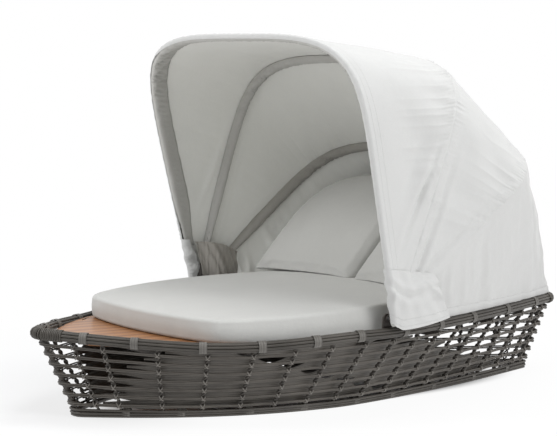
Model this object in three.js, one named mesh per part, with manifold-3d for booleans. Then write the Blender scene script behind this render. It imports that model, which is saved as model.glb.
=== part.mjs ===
// Outdoor daybed with a folding canopy: a boat-shaped woven hull round a welded aluminium frame,
// a boarded deck with a wooden tray in the prow, a mattress, two back cushions and a canopy that
// folds back on three bows. Millimetres, +Z up, +X towards the head end, origin on the floor.
import * as THREE from "three";
import { mergeVertices } from "three/addons/utils/BufferGeometryUtils.js";
import Module from "manifold-3d";

const wasm = await Module();
wasm.setup();

// Fits
const SEAT_GAP = 0.3;
const RUNNING_GAP = 0.4;

// Hull plan: two curved sides that meet in a blunt prow and stern, widest forward of the middle
const HULL_LENGTH = 2300;
const RIM_WIDTH = 1260;
const BASE_LENGTH = 1990;
const BASE_WIDTH = 706;
const BASE_SHIFT = 5;
const TIP_WIDTH = 34;
const WIDEST_FROM_PROW_SHARE = 0.426;
const PROW_FULLNESS = 2.28;
const STERN_FULLNESS = 1.36;
const RIB_BAYS = 17;

// Rim height along the hull, at the centre of the rim tube
const RIM_HEIGHT = 293;
const FOREDECK_DIP = 41;
const DIP_START_X = -200;
const DIP_END_X = -800;
const PROW_SHEER = 47;
const STERN_SHEER = -22;

// Frame tubes and the strands wound along them
const FRAME_TUBE_RADIUS = 9;
const FRAME_TUBE_SIDES = 9;
const STRAND_RADIUS = 4.5;
const STRAND_SIDES = 5;
const RIM_STRANDS = 5;
const RIM_STRANDS_START = -1.69;
const BASE_STRANDS = 2;
const BASE_STRANDS_START = -1;
const BASE_TOP_STRAND_LEVEL_SHARE = 0.056;
const BASE_HEIGHT = 15;
const RIB_RADIUS = 4;
const RIB_SIDES = 5;

// Open rows of weave on the outside of the ribs
const WEAVE_ROWS = 7;
const WEAVE_RADIUS = 4;
const WEAVE_SIDES = 4;

// Inner tub of flat bands
const TUB_INSET = 17;
const TUB_WALL = 4;
const TUB_START_SHARE = 0.05;
const TUB_END_SHARE = 0.89;
const TUB_EDGE_PLACE_SHARES = [0.05, 0.086, 0.135, 0.536, 0.89];
const TUB_EDGE_HEIGHT_SHARES = [0.5, 0.78, 1, 1, 0.15];
const TUB_BANDS = 6;
const BAND_GROOVE = 2;
const TUB_STATIONS = 16;
const TUB_END_ROUNDNESS = 5;

// Deck
const DECK_BELOW_RIM = 17.3;
const DECK_HEIGHT = RIM_HEIGHT - DECK_BELOW_RIM;
const DECK_THICKNESS = 13;
const DECK_END_X = 960;
const BOARDS_PER_SIDE = 4;
const BOARDS_TO_RIM = 110;
const BOARD_GAP = 12;
const BOARD_SPACING = (RIM_WIDTH / 2 - BOARDS_TO_RIM) / BOARDS_PER_SIDE;
const BOARD_WIDTH = BOARD_SPACING - BOARD_GAP;
const BOARD_MARGIN = 34;
const BEAM_WIDTH = 30;
const BEAM_DEPTH = 20;
const TUB_BELOW_BEAMS = 4.7;
const TUB_TOP = DECK_HEIGHT - DECK_THICKNESS - BEAM_DEPTH - TUB_BELOW_BEAMS;
const BEAM_INSET = 1;
const BEAM_STATIONS = [2, 4, 7, 10, 13, 15];
const BASE_BAR_STATIONS = [4, 8, 12];
const BASE_BAR_THICKNESS = 6;
const TRAY_FROM_PROW = 138;
const TRAY_TIP_X = TRAY_FROM_PROW - HULL_LENGTH / 2;
const TRAY_MARGIN = 16;
const TRAY_STATIONS = 8;

// Glides under the base tube
const GLIDE_RADIUS = 10;
const GLIDE_INSET = 5.5;
const GLIDE_STATIONS = [3, 8, 13];

// Mattress
const MATTRESS_FRONT_X = -694;
const MATTRESS_BACK_X = 318;
const MATTRESS_BULGE = 52;
const MATTRESS_FRONT_INSET = 33;
const MATTRESS_SIDE_INSET = 65;
const MATTRESS_INSET_RUN = 600;
const MATTRESS_SIDE = 82;
const MATTRESS_RISE_SHARE = 0.043;
const MATTRESS_CROWN = 12;
const MATTRESS_CORNER_SHARE = 0.014;
const MATTRESS_PINCH = 5;
const MATTRESS_EDGE = 20;
const MATTRESS_CROSS_SHARES = [1, 0.94, 0.8, 0.4, 0, -0.4, -0.8, -0.94, -1];
const MATTRESS_BAYS = 10;

// Back cushions
const BACK_FOOT_X = 168;
const BACK_LEAN = THREE.MathUtils.degToRad(42);
const CUSHION_HEIGHT = 514;
const CUSHION_TO_RIM = 74;
const CUSHION_HALF_WIDTH = RIM_WIDTH / 2 - CUSHION_TO_RIM;
const CUSHION_THICKNESS = 112;
const CUSHION_WRAP = 90;
const CUSHION_PARTING = 1;
const CUSHION_PINCH = 14;
const CUSHION_ROUNDNESS = 3.4;

// Backrest frame behind the cushions
const HOOP_RADIUS = 11;
const HOOP_HALF_WIDTH = 330;
const HOOP_HEIGHT = 440;
const HOOP_KNEE = 128;
const HOOP_ROUNDNESS = 4;
const SLAT_WIDTH = 34;
const SLAT_THICKNESS = 6;
const BACK_SLATS = 4;
const STRUT_FOOT_X = 690;
const STRUT_HALF_WIDTH = 150;
const STRUT_RADIUS = 8;
const FOOT_PLATE = 44;
const FOOT_PLATE_THICKNESS = 5;

// Canopy bows: all three turn on one bolt on each side
const PIVOT_X = -110;
const PIVOT_ABOVE_RIM = 47;
const PIVOT_HEIGHT = RIM_HEIGHT + PIVOT_ABOVE_RIM;
const BOW_TUBE_RADIUS = 9;
const BOW_SIDES = 6;
const BOW_STEPS = 24;
const CURVE_SAMPLES = 6000;
const BOW_SQUARENESS = 3.79;
const BOW_LEG_SQUARENESS = 9.64;
const BOW_SPREAD_SHARE = 0.0585;
const BOW_PITCH = 19.5;
const BOW_TURN_WEIGHT = 420;
const EYE_THICKNESS = 7;
const EYE_RADIUS = 10;
const EYE_LENGTH = 46;
const EYE_LAP = 8;
const REAR_REACH = 857;
const REAR_SEAM = 232;
const MIDDLE_REACH = 932;
const MIDDLE_SEAM = 172;
const FRONT_REACH = 981;
const FRONT_SEAM = 178;
const BOWS = [
  { name: "rear_bow", order: 0, reach: REAR_REACH, seam: REAR_SEAM, angle: THREE.MathUtils.degToRad(51.3) },
  { name: "middle_bow", order: 1, reach: MIDDLE_REACH, seam: MIDDLE_SEAM, angle: THREE.MathUtils.degToRad(19.0) },
  { name: "front_bow", order: 2, reach: FRONT_REACH, seam: FRONT_SEAM, angle: THREE.MathUtils.degToRad(-12.0) },
];

// Pivot hardware
const LUG_THICKNESS = 8;
const LUG_LAP = 0.5;
const LUG_WIDTH = 44;
const LUG_RADIUS = 17;
const LUG_DROP = 66;
const BOLT_RADIUS = 5;
const BOLT_HEAD_RADIUS = 9;
const BOLT_HEAD_HEIGHT = 5.5;
const NUT_RADIUS = 9;
const NUT_THICKNESS = 8;
const SPACER_RADIUS = 9;
const ROUND_SIDES = 16;
const NUT_SIDES = 6;

// Canopy cloth
const SLEEVE_WALL = 3;
const SLEEVE_START = 158;
const CLOTH_THICKNESS = 3;
const CLOTH_HEM = 11;
const CLOTH_SAG_SHARE = 0.03;
const CLOTH_FOLD_SHARE = 0.01;
const CLOTH_BAYS = 4;
const REAR_FOLDS = 9;
const REAR_FOLD_DEPTH = 9;
const REAR_BELLY = 26;
const REAR_HEM_START_X = 84;
const REAR_HEM_LIFT = 0.6;
const REAR_HEM_SPREAD = 2.4;
const FLAP_DROP = 33;
const FLAP_BACK_DROP = 11;
const FLAP_CLEARANCE = 2;
const FLAP_FRONT_X = -116;
const FLAP_BACK_X = 58;
const FLAP_BAYS = 6;
const FLAP_ROWS = 4;
const COVER_THICKNESS = 3;
const COVER_REACH = 172;
const COVER_BACK_REACH = 206;
const COVER_DROP = 30;
const COVER_HEM = 70;
const COVER_MARGIN = THREE.MathUtils.degToRad(6);
const COVER_END = THREE.MathUtils.degToRad(64);
const COVER_BAYS = 10;
const COVER_ROWS = 3;
const COVER_PLEAT = 6;

const HALF_TURN = Math.PI;
const FULL_TURN = 2 * Math.PI;
const UP = new THREE.Vector3(0, 0, 1);
const SIDES = [-1, 1];
const SIDE_NAMES = { "-1": "right", 1: "left" };

// Colours of the finishes
const FINISHES = {
  aluminium: { color: 0x8d8a85, roughness: 0.45, metalness: 0.9 },
  strand: { color: 0x5b534b, roughness: 0.6, metalness: 0 },
  band: { color: 0x6b6156, roughness: 0.65, metalness: 0 },
  teak: { color: 0xb5763f, roughness: 0.5, metalness: 0 },
  board: { color: 0x7a756d, roughness: 0.6, metalness: 0 },
  cushion: { color: 0xc9c9c4, roughness: 0.9, metalness: 0 },
  canopy: { color: 0xe8e8e6, roughness: 0.9, metalness: 0 },
  sleeve: { color: 0x96918b, roughness: 0.9, metalness: 0 },
  steel: { color: 0xb0b0b0, roughness: 0.3, metalness: 1 },
  nylon: { color: 0x2b2b2b, roughness: 0.5, metalness: 0 },
};

const daybed = new THREE.Group();

function addPiece(name, geometry, finish) {
  const mesh = new THREE.Mesh(geometry, new THREE.MeshStandardMaterial(FINISHES[finish]));
  mesh.name = name;
  daybed.add(mesh);
  return mesh;
}

const { lerp, clamp, smoothstep } = THREE.MathUtils;
const vec = (x, y, z) => new THREE.Vector3(x, y, z);
const steps = (count) => Array.from({ length: count }, (_, i) => i);

// Turns a list of points and triangles into a closed geometry with its faces pointing out.
function closedGeometry(points, faces) {
  let volume = 0;
  for (let i = 0; i < faces.length; i += 3) {
    const [a, b, c] = [points[faces[i]], points[faces[i + 1]], points[faces[i + 2]]];
    volume += a.dot(b.clone().cross(c));
  }
  if (volume < 0) faces.reverse();
  const geometry = new THREE.BufferGeometry();
  geometry.setAttribute("position", new THREE.Float32BufferAttribute(points.flatMap((p) => [p.x, p.y, p.z]), 3));
  geometry.setIndex(faces);
  return geometry;
}

function middleOf(ring) {
  const sum = ring.reduce((total, point) => total.add(point), vec(0, 0, 0));
  return sum.divideScalar(ring.length);
}

// A skin over a row of rings with equal point counts, closed by fans or joined into a loop.
function skin(rings, looped = false) {
  const around = rings[0].length;
  const points = rings.flat();
  const faces = [];
  const spans = looped ? rings.length : rings.length - 1;
  for (let i = 0; i < spans; i++) {
    const here = i * around;
    const there = ((i + 1) % rings.length) * around;
    for (let j = 0; j < around; j++) {
      const next = (j + 1) % around;
      faces.push(here + j, here + next, there + next, here + j, there + next, there + j);
    }
  }
  if (!looped) {
    const last = (rings.length - 1) * around;
    const startHub = points.push(middleOf(rings[0])) - 1;
    const endHub = points.push(middleOf(rings[rings.length - 1])) - 1;
    for (let j = 0; j < around; j++) {
      const next = (j + 1) % around;
      faces.push(startHub, next, j);
      faces.push(endHub, last + j, last + next);
    }
  }
  return closedGeometry(points, faces);
}

// A sheet of cloth between two matching grids of points, closed along its four borders.
function clothBetween(outer, inner) {
  const rows = outer.length;
  const columns = outer[0].length;
  const points = [...outer.flat(), ...inner.flat()];
  const shift = rows * columns;
  const faces = [];
  const quad = (a, b, c, d) => faces.push(a, b, c, a, c, d);
  for (let i = 0; i < rows - 1; i++) {
    for (let j = 0; j < columns - 1; j++) {
      const a = i * columns + j;
      const b = a + columns;
      quad(a, a + 1, b + 1, b);
      quad(shift + a, shift + b, shift + b + 1, shift + a + 1);
    }
  }
  const border = (a, b) => quad(b, a, a + shift, b + shift);
  for (let j = 0; j < columns - 1; j++) {
    border(j, j + 1);
    border((rows - 1) * columns + j + 1, (rows - 1) * columns + j);
  }
  for (let i = 0; i < rows - 1; i++) {
    border((i + 1) * columns, i * columns);
    border(i * columns + columns - 1, (i + 1) * columns + columns - 1);
  }
  return closedGeometry(points, faces);
}

function toSolid(geometry) {
  const bare = geometry.index ? geometry.toNonIndexed() : geometry.clone();
  for (const name of Object.keys(bare.attributes)) {
    if (name !== "position") bare.deleteAttribute(name);
  }
  const merged = mergeVertices(bare, 1e-3);
  return new wasm.Manifold(new wasm.Mesh({
    numProp: 3,
    vertProperties: merged.attributes.position.array,
    triVerts: new Uint32Array(merged.index.array),
  }));
}

function fromSolid(solid) {
  const mesh = solid.getMesh();
  const geometry = new THREE.BufferGeometry();
  geometry.setAttribute("position", new THREE.BufferAttribute(new Float32Array(mesh.vertProperties), 3));
  geometry.setIndex(Array.from(mesh.triVerts));
  return geometry;
}

const joined = (geometries) => geometries.map(toSolid).reduce((all, next) => all.add(next));

// A rod of round section along a bent path, mitred at each bend.
function rodRings(path, radius, sides) {
  const directions = path.slice(1).map((point, i) => point.clone().sub(path[i]).normalize());
  const first = directions[0];
  const guide = Math.abs(first.y) > Math.SQRT1_2 ? UP : vec(0, 1, 0);
  const side = first.clone().cross(guide).normalize();
  const rise = side.clone().cross(first).normalize();
  let ring = steps(sides).map((j) => {
    const turn = (j + 0.5) / sides * FULL_TURN;
    return path[0].clone().addScaledVector(side, radius * Math.cos(turn)).addScaledVector(rise, radius * Math.sin(turn));
  });
  const rings = [ring];
  for (let i = 1; i < path.length; i++) {
    const along = directions[i - 1];
    const leaving = directions[Math.min(i, directions.length - 1)];
    const plane = along.clone().add(leaving).normalize();
    ring = ring.map((point) => {
      const travel = path[i].clone().sub(point).dot(plane) / along.dot(plane);
      return point.clone().addScaledVector(along, travel);
    });
    rings.push(ring);
  }
  return rings;
}

const rod = (path, radius, sides) => skin(rodRings(path, radius, sides));

// A sleeve round a rod: an open tube whose wall runs along the same mitred path.
function sleeve(path, innerRadius, outerRadius, sides) {
  const outside = rodRings(path, outerRadius, sides);
  const inside = rodRings(path, innerRadius, sides);
  return skin([...outside, ...inside.reverse()], true);
}

// A flat-topped block with upright sides over the given plan corners.
function blockOver(corners, bottom, top) {
  return skin([bottom, top].map((z) => corners.map(([x, y]) => vec(x, y, z))));
}

// Hull shape
function planReach(share) {
  const ahead = (WIDEST_FROM_PROW_SHARE - share) / WIDEST_FROM_PROW_SHARE;
  const behind = (share - WIDEST_FROM_PROW_SHARE) / (1 - WIDEST_FROM_PROW_SHARE);
  return Math.max(ahead, behind);
}

function curveHalfWidth(share, width) {
  const fullness = share < WIDEST_FROM_PROW_SHARE ? PROW_FULLNESS : STERN_FULLNESS;
  return TIP_WIDTH / 2 + (width - TIP_WIDTH) / 2 * (1 - planReach(share) ** fullness);
}

// Every value along the hull runs straight from station to station, as the tubes do.
function betweenStations(share, valueAt) {
  const bay = clamp(share, 0, 1) * RIB_BAYS;
  const station = Math.min(Math.floor(bay), RIB_BAYS - 1);
  const [here, next] = [station, station + 1].map((k) => valueAt(k / RIB_BAYS));
  return lerp(here, next, bay - station);
}

const planHalfWidth = (share, width) => betweenStations(share, (at) => curveHalfWidth(at, width));

const BUNDLE_RADIUS = FRAME_TUBE_RADIUS + SEAT_GAP + 2 * STRAND_RADIUS;
const RIM_LENGTH = HULL_LENGTH - 2 * BUNDLE_RADIUS;

function sheerHeight(share) {
  const x = (share - 0.5) * RIM_LENGTH;
  const dip = FOREDECK_DIP * (1 - smoothstep(x, DIP_END_X, DIP_START_X));
  const sheer = share < WIDEST_FROM_PROW_SHARE ? PROW_SHEER : STERN_SHEER;
  return RIM_HEIGHT - dip + sheer * planReach(share) ** 2;
}

const rimHeightAt = (share) => betweenStations(share, sheerHeight);

// A point on the wall's middle surface: level 0 is the base tube, level 1 the rim tube.
function wallPoint(share, level, side) {
  const base = vec(BASE_SHIFT + (share - 0.5) * BASE_LENGTH, side * planHalfWidth(share, BASE_WIDTH), BASE_HEIGHT);
  const rim = vec((share - 0.5) * RIM_LENGTH, side * planHalfWidth(share, RIM_WIDTH), rimHeightAt(share));
  return base.lerp(rim, level);
}

const stationShares = steps(RIB_BAYS + 1).map((k) => k / RIB_BAYS);
const loopStations = [
  ...stationShares.map((share) => ({ share, side: -1 })),
  ...[...stationShares].reverse().map((share) => ({ share, side: 1 })),
];
const shareOfX = (x) => x / RIM_LENGTH + 0.5;
const levelOfHeight = (share, height) => (height - BASE_HEIGHT) / (rimHeightAt(share) - BASE_HEIGHT);
const rimHalfAt = (x) => planHalfWidth(shareOfX(x), RIM_WIDTH);

// Half-width of the wall's middle surface at a place along the hull and a height
function wallHalfAt(x, height) {
  let share = shareOfX(x);
  let level = 1;
  for (const _ of steps(4)) {
    level = levelOfHeight(share, height);
    share = 0.5 + (x - BASE_SHIFT * (1 - level)) / lerp(BASE_LENGTH, RIM_LENGTH, level);
  }
  return wallPoint(share, level, 1).y;
}

// Outward and upward directions at each station of a loop of the wall, with the mitre's stretch.
function loopFrames(level, leaning) {
  const points = loopStations.map(({ share, side }) => wallPoint(share, level, side));
  const count = points.length;
  return points.map((point, i) => {
    const before = point.clone().sub(points[(i + count - 1) % count]).setZ(0).normalize();
    const after = points[(i + 1) % count].clone().sub(point).setZ(0).normalize();
    const along = before.clone().add(after).normalize();
    const stretch = 1 / along.dot(after);
    const { share, side } = loopStations[i];
    const rise = leaning ? wallPoint(share, 1, side).sub(wallPoint(share, 0, side)).normalize() : UP.clone();
    const out = along.clone().cross(rise).normalize();
    rise.copy(out.clone().cross(along)).normalize();
    return { point, out: out.multiplyScalar(stretch), rise };
  });
}

// A strand or tube that follows the whole loop at one level of the wall, one edge facing a given way.
function loopStrand(level, leaning, offset, lift, radius, sides, facing = 0) {
  const rings = loopFrames(level, leaning).map(({ point, out, rise }) =>
    steps(sides).map((j) => {
      const turn = facing + j / sides * FULL_TURN;
      return point.clone()
        .addScaledVector(out, offset + radius * Math.cos(turn))
        .addScaledVector(rise, lift + radius * Math.sin(turn));
    }));
  return skin(rings, true);
}

// Levels of the deck
const DECK_BOTTOM = DECK_HEIGHT - DECK_THICKNESS;
const BEAM_TOP = DECK_BOTTOM - SEAT_GAP;
const BEAM_BOTTOM = BEAM_TOP - BEAM_DEPTH;

// Bow curve in its own plane: straight legs that spread a little, large corners and a crowned top
const LUG_FACE_Y = rimHalfAt(PIVOT_X) - FRAME_TUBE_RADIUS + LUG_LAP;
const eyeCentre = (bow) => LUG_FACE_Y + RUNNING_GAP + EYE_THICKNESS / 2 + bow.order * BOW_PITCH;
const BOLT_FACE_Y = eyeCentre(BOWS[2]) + EYE_THICKNESS / 2 + RUNNING_GAP;

function bowPoint(bow, turn) {
  const height = bow.reach * Math.sin(turn) ** (2 / BOW_LEG_SQUARENESS);
  const half = eyeCentre(bow) + BOW_SPREAD_SHARE * height;
  const cosine = Math.cos(turn);
  return vec(0, -Math.sign(cosine) * half * Math.abs(cosine) ** (2 / BOW_SQUARENESS), height);
}

// Points along a bow from one leg to the other, closer together where it bends.
function bowLine(bow, count) {
  const startTurn = Math.asin((bow.seam / bow.reach) ** (BOW_LEG_SQUARENESS / 2));
  const curve = steps(CURVE_SAMPLES + 1).map((i) => {
    const share = i / CURVE_SAMPLES;
    const eased = share - Math.sin(share * FULL_TURN) / FULL_TURN;
    return bowPoint(bow, lerp(startTurn, HALF_TURN - startTurn, eased));
  });
  const spent = [0];
  let heading = null;
  for (let i = 1; i < curve.length; i++) {
    const step = curve[i].clone().sub(curve[i - 1]);
    const angle = Math.atan2(step.z, step.y);
    const turned = heading === null ? 0 : Math.abs(angle - heading);
    heading = angle;
    spent.push(spent[i - 1] + step.length() + BOW_TURN_WEIGHT * turned);
  }
  const total = spent[CURVE_SAMPLES];
  let at = 0;
  return steps(count + 1).map((i) => {
    while (at < CURVE_SAMPLES - 1 && spent[at + 1] < total * i / count) at++;
    const share = clamp((total * i / count - spent[at]) / (spent[at + 1] - spent[at]), 0, 1);
    return curve[at].clone().lerp(curve[at + 1], share);
  });
}

// Where a bow's tube ends on a side, at a height above the pivot
const legPoint = (bow, height, side) => vec(0, side * (eyeCentre(bow) + BOW_SPREAD_SHARE * height), height);

// Outward directions in the bow's plane, stretched at each bend as a mitre is
function outwards(path) {
  return path.map((point, i) => {
    const before = point.clone().sub(path[Math.max(i - 1, 0)]).normalize();
    const after = path[Math.min(i + 1, path.length - 1)].clone().sub(point).normalize();
    if (i === 0) before.copy(after);
    if (i === path.length - 1) after.copy(before);
    const along = before.clone().add(after).normalize();
    return vec(0, -along.z, along.y).multiplyScalar(1 / along.dot(after));
  });
}

for (const bow of BOWS) {
  bow.line = bowLine(bow, BOW_STEPS);
  const ends = (height) => [legPoint(bow, height, -1), ...bow.line, legPoint(bow, height, 1)];
  bow.path = ends(EYE_LENGTH - EYE_LAP);
  bow.sleevePath = ends(SLEEVE_START);
  bow.outwards = outwards(bow.path).slice(1, -1);
}

// A point of a bow's plane in the world, and a direction of it
const onBow = (angle, point) => vec(
  PIVOT_X + point.z * Math.sin(angle), point.y, PIVOT_HEIGHT + point.z * Math.cos(angle),
);
const directionOnBow = (angle, way) => vec(way.z * Math.sin(angle), way.y, way.z * Math.cos(angle));

const SLEEVE_INNER = BOW_TUBE_RADIUS + SEAT_GAP / Math.cos(HALF_TURN / BOW_SIDES);
const SLEEVE_OUTER = SLEEVE_INNER + SLEEVE_WALL;
const CLOTH_INNER = SLEEVE_OUTER + SEAT_GAP;
const CLOTH_OUTER = CLOTH_INNER + CLOTH_THICKNESS;

// Welded frame: rim and base tubes, ribs, deck beams, base bars and the canopy lugs
function makeFrame() {
  const tubeAt = (level, start) => loopStrand(
    level, false, 0, 0, FRAME_TUBE_RADIUS, FRAME_TUBE_SIDES, start / FRAME_TUBE_SIDES * FULL_TURN,
  );
  const parts = [tubeAt(1, RIM_STRANDS_START), tubeAt(0, BASE_STRANDS_START)];
  for (const side of SIDES) {
    for (const share of stationShares.slice(1, -1)) {
      parts.push(rod([wallPoint(share, 0, side), wallPoint(share, 1, side)], RIB_RADIUS, RIB_SIDES));
    }
  }
  for (const share of [0, 1]) {
    parts.push(rod([wallPoint(share, 0, 0), wallPoint(share, 1, 0)], RIB_RADIUS, RIB_SIDES));
  }
  for (const station of BEAM_STATIONS) parts.push(makeBeam(station / RIB_BAYS, BEAM_BOTTOM, BEAM_TOP));
  const barTop = BASE_HEIGHT + BASE_BAR_THICKNESS / 2;
  const barBottom = BASE_HEIGHT - BASE_BAR_THICKNESS / 2;
  for (const station of BASE_BAR_STATIONS) {
    parts.push(makeBeam(station / RIB_BAYS, barBottom, barTop));
  }
  for (const side of SIDES) parts.push(makeLug(side));
  return fromSolid(joined(parts));
}

// A bar from rib to rib across the hull, its ends cut to the slope of the wall.
function makeBeam(share, bottom, top) {
  const middle = wallPoint(share, Math.max(levelOfHeight(share, top), 0), 1).x;
  const ring = (height) => {
    const corner = (sign, side) => {
      const x = middle + sign * BEAM_WIDTH / 2;
      return vec(x, side * (wallHalfAt(x, Math.max(height, BASE_HEIGHT)) - BEAM_INSET), height);
    };
    return [corner(-1, -1), corner(1, -1), corner(1, 1), corner(-1, 1)];
  };
  return skin([ring(bottom), ring(top)]);
}

// The plate that carries a canopy bolt, standing against the inside of the rim tube.
function makeLug(side) {
  const outline = new THREE.Shape();
  outline.moveTo(-LUG_WIDTH / 2, -LUG_DROP);
  outline.lineTo(LUG_WIDTH / 2, -LUG_DROP);
  outline.lineTo(LUG_RADIUS, 0);
  outline.absarc(0, 0, LUG_RADIUS, 0, HALF_TURN, false);
  outline.closePath();
  outline.holes.push(new THREE.Path(polygon(BOLT_RADIUS + SEAT_GAP, ROUND_SIDES)));
  const plate = new THREE.ExtrudeGeometry(outline, {
    depth: LUG_THICKNESS, bevelEnabled: false, curveSegments: ROUND_SIDES / 2,
  });
  plate.rotateX(HALF_TURN / 2);
  plate.translate(PIVOT_X, side > 0 ? LUG_FACE_Y : -LUG_FACE_Y + LUG_THICKNESS, PIVOT_HEIGHT);
  return plate;
}

function polygon(radius, sides) {
  return steps(sides).map((i) => new THREE.Vector2(radius, 0).rotateAround(new THREE.Vector2(), i / sides * FULL_TURN));
}

addPiece("hull_frame", makeFrame(), "aluminium");

// Strands laid round the outside of the rim and base tubes, one on each edge of the tube
function addBundle(name, level, count, start) {
  const orbit = FRAME_TUBE_RADIUS + SEAT_GAP + STRAND_RADIUS;
  steps(count).forEach((i) => {
    const turn = (start + i) / FRAME_TUBE_SIDES * FULL_TURN;
    const [out, lift] = [orbit * Math.cos(turn), orbit * Math.sin(turn)];
    const strand = loopStrand(level, false, out, lift, STRAND_RADIUS, STRAND_SIDES, turn + HALF_TURN);
    addPiece(`${name}_${i + 1}`, strand, "strand");
  });
}

addBundle("rim_strand", 1, RIM_STRANDS, RIM_STRANDS_START);
addBundle("base_strand", 0, BASE_STRANDS, BASE_STRANDS_START);

// The base's top strand lies on the ribs
const TOP_STRAND_OFFSET = RIB_RADIUS + SEAT_GAP + STRAND_RADIUS;
const baseTopStrand = loopStrand(BASE_TOP_STRAND_LEVEL_SHARE, true, TOP_STRAND_OFFSET, 0, STRAND_RADIUS, STRAND_SIDES);
addPiece(`base_strand_${BASE_STRANDS + 1}`, baseTopStrand, "strand");

// Open rows of weave
const ROW_OFFSET = RIB_RADIUS + SEAT_GAP + WEAVE_RADIUS;
for (const row of steps(WEAVE_ROWS)) {
  const level = (row + 1) / (WEAVE_ROWS + 1);
  addPiece(`weave_row_${row + 1}`, loopStrand(level, true, ROW_OFFSET, 0, WEAVE_RADIUS, WEAVE_SIDES), "strand");
}

// The tub's top edge stands under the deck amidships and falls towards prow and stern.
function tubEdgeShare(share) {
  const next = Math.max(TUB_EDGE_PLACE_SHARES.findIndex((place) => place >= share), 1);
  const [from, to] = [TUB_EDGE_PLACE_SHARES[next - 1], TUB_EDGE_PLACE_SHARES[next]];
  const way = clamp((share - from) / (to - from), 0, 1);
  return lerp(TUB_EDGE_HEIGHT_SHARES[next - 1], TUB_EDGE_HEIGHT_SHARES[next], way);
}

// Inner tub: one shell of flat bands with a groove between each two, open at the top and bottom
function makeTub() {
  const bottom = BASE_HEIGHT + BASE_BAR_THICKNESS / 2 + SEAT_GAP;
  const profile = [];
  for (const band of steps(TUB_BANDS)) {
    const [low, high] = [band / TUB_BANDS, (band + 1) / TUB_BANDS];
    if (band > 0) profile.push([low, -BAND_GROOVE]);
    profile.push([lerp(low, high, 0.08), 0], [lerp(low, high, 0.92), 0]);
  }
  profile.push([1, -BAND_GROOVE], [1, -TUB_WALL], [0, -TUB_WALL], [0, -BAND_GROOVE]);
  const middle = (TUB_START_SHARE + TUB_END_SHARE) / 2;
  const halfSpan = (TUB_END_SHARE - TUB_START_SHARE) / 2;
  const ringAt = (turn) => profile.map(([rise, out]) => {
    const along = Math.cos(turn);
    const share = middle - halfSpan * along;
    const height = lerp(bottom, TUB_TOP, rise * tubEdgeShare(share));
    const wall = wallPoint(share, levelOfHeight(share, height), Math.sign(Math.sin(turn)) || 1);
    const rounding = Math.max(1 - Math.abs(along) ** TUB_END_ROUNDNESS, 0) ** 0.5;
    const half = (Math.abs(wall.y) - TUB_INSET + out) * rounding;
    return vec(wall.x - out * along ** 3, Math.sign(wall.y) * half, height);
  });
  return skin(steps(2 * TUB_STATIONS).map((i) => ringAt((i + 0.5) / TUB_STATIONS * HALF_TURN)), true);
}

addPiece("inner_tub", makeTub(), "band");

// Deck boards run lengthways over the beams
function clearShares(half) {
  const level = levelOfHeight(WIDEST_FROM_PROW_SHARE, DECK_HEIGHT);
  const width = lerp(BASE_WIDTH, RIM_WIDTH, level);
  const remaining = clamp(1 - (half - TIP_WIDTH / 2) / ((width - TIP_WIDTH) / 2), 0, 1);
  return [
    WIDEST_FROM_PROW_SHARE * (1 - remaining ** (1 / PROW_FULLNESS)),
    WIDEST_FROM_PROW_SHARE + (1 - WIDEST_FROM_PROW_SHARE) * remaining ** (1 / STERN_FULLNESS),
  ];
}

const TRAY_BACK_X = (BEAM_STATIONS[1] / RIB_BAYS - 0.5) * RIM_LENGTH;

for (const side of SIDES) {
  for (const board of steps(BOARDS_PER_SIDE)) {
    const centre = (board + 0.5) * BOARD_SPACING;
    const [inner, outer] = [centre - BOARD_WIDTH / 2, centre + BOARD_WIDTH / 2];
    const [fore, aft] = clearShares(outer + BOARD_MARGIN).map((share) => (share - 0.5) * RIM_LENGTH);
    const start = Math.max(fore, TRAY_BACK_X + SEAT_GAP);
    const end = Math.min(aft, DECK_END_X);
    const corners = [[start, side * inner], [end, side * inner], [end, side * outer], [start, side * outer]];
    addPiece(`deck_board_${SIDE_NAMES[side]}_${board + 1}`, blockOver(corners, DECK_BOTTOM, DECK_HEIGHT), "board");
  }
}

// Prow tray: a pointed wooden panel whose sides follow the rim
function makeTray() {
  const corners = steps(TRAY_STATIONS + 1).map((i) => {
    const x = lerp(TRAY_TIP_X, TRAY_BACK_X - SEAT_GAP, i / TRAY_STATIONS);
    return [x, wallHalfAt(x, DECK_BOTTOM) - TRAY_MARGIN];
  });
  const near = corners.map(([x, half]) => [x, -half]);
  return blockOver([...near, ...[...corners].reverse()], DECK_BOTTOM, DECK_HEIGHT);
}

addPiece("prow_tray", makeTray(), "teak");

// Glides under the base tube
function makeGlide(station, side) {
  const top = BASE_HEIGHT - FRAME_TUBE_RADIUS * Math.sin(2 * FULL_TURN / FRAME_TUBE_SIDES) - SEAT_GAP;
  const glide = new THREE.CylinderGeometry(GLIDE_RADIUS, GLIDE_RADIUS * 0.9, top, ROUND_SIDES);
  const place = wallPoint(station / RIB_BAYS, 0, side);
  glide.rotateX(HALF_TURN / 2);
  glide.translate(place.x, place.y - side * GLIDE_INSET, top / 2);
  return glide;
}

for (const side of SIDES) {
  GLIDE_STATIONS.forEach((station, i) => {
    addPiece(`glide_${SIDE_NAMES[side]}_${i + 1}`, makeGlide(station, side), "nylon");
  });
}

// Mattress: follows the hull's sides, bows out at the front and is crowned on top
function mattressHalf(x) {
  const run = clamp((x - MATTRESS_FRONT_X) / MATTRESS_INSET_RUN, 0, 1);
  return planHalfWidth(shareOfX(x), RIM_WIDTH) - lerp(MATTRESS_FRONT_INSET, MATTRESS_SIDE_INSET, run);
}

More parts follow.
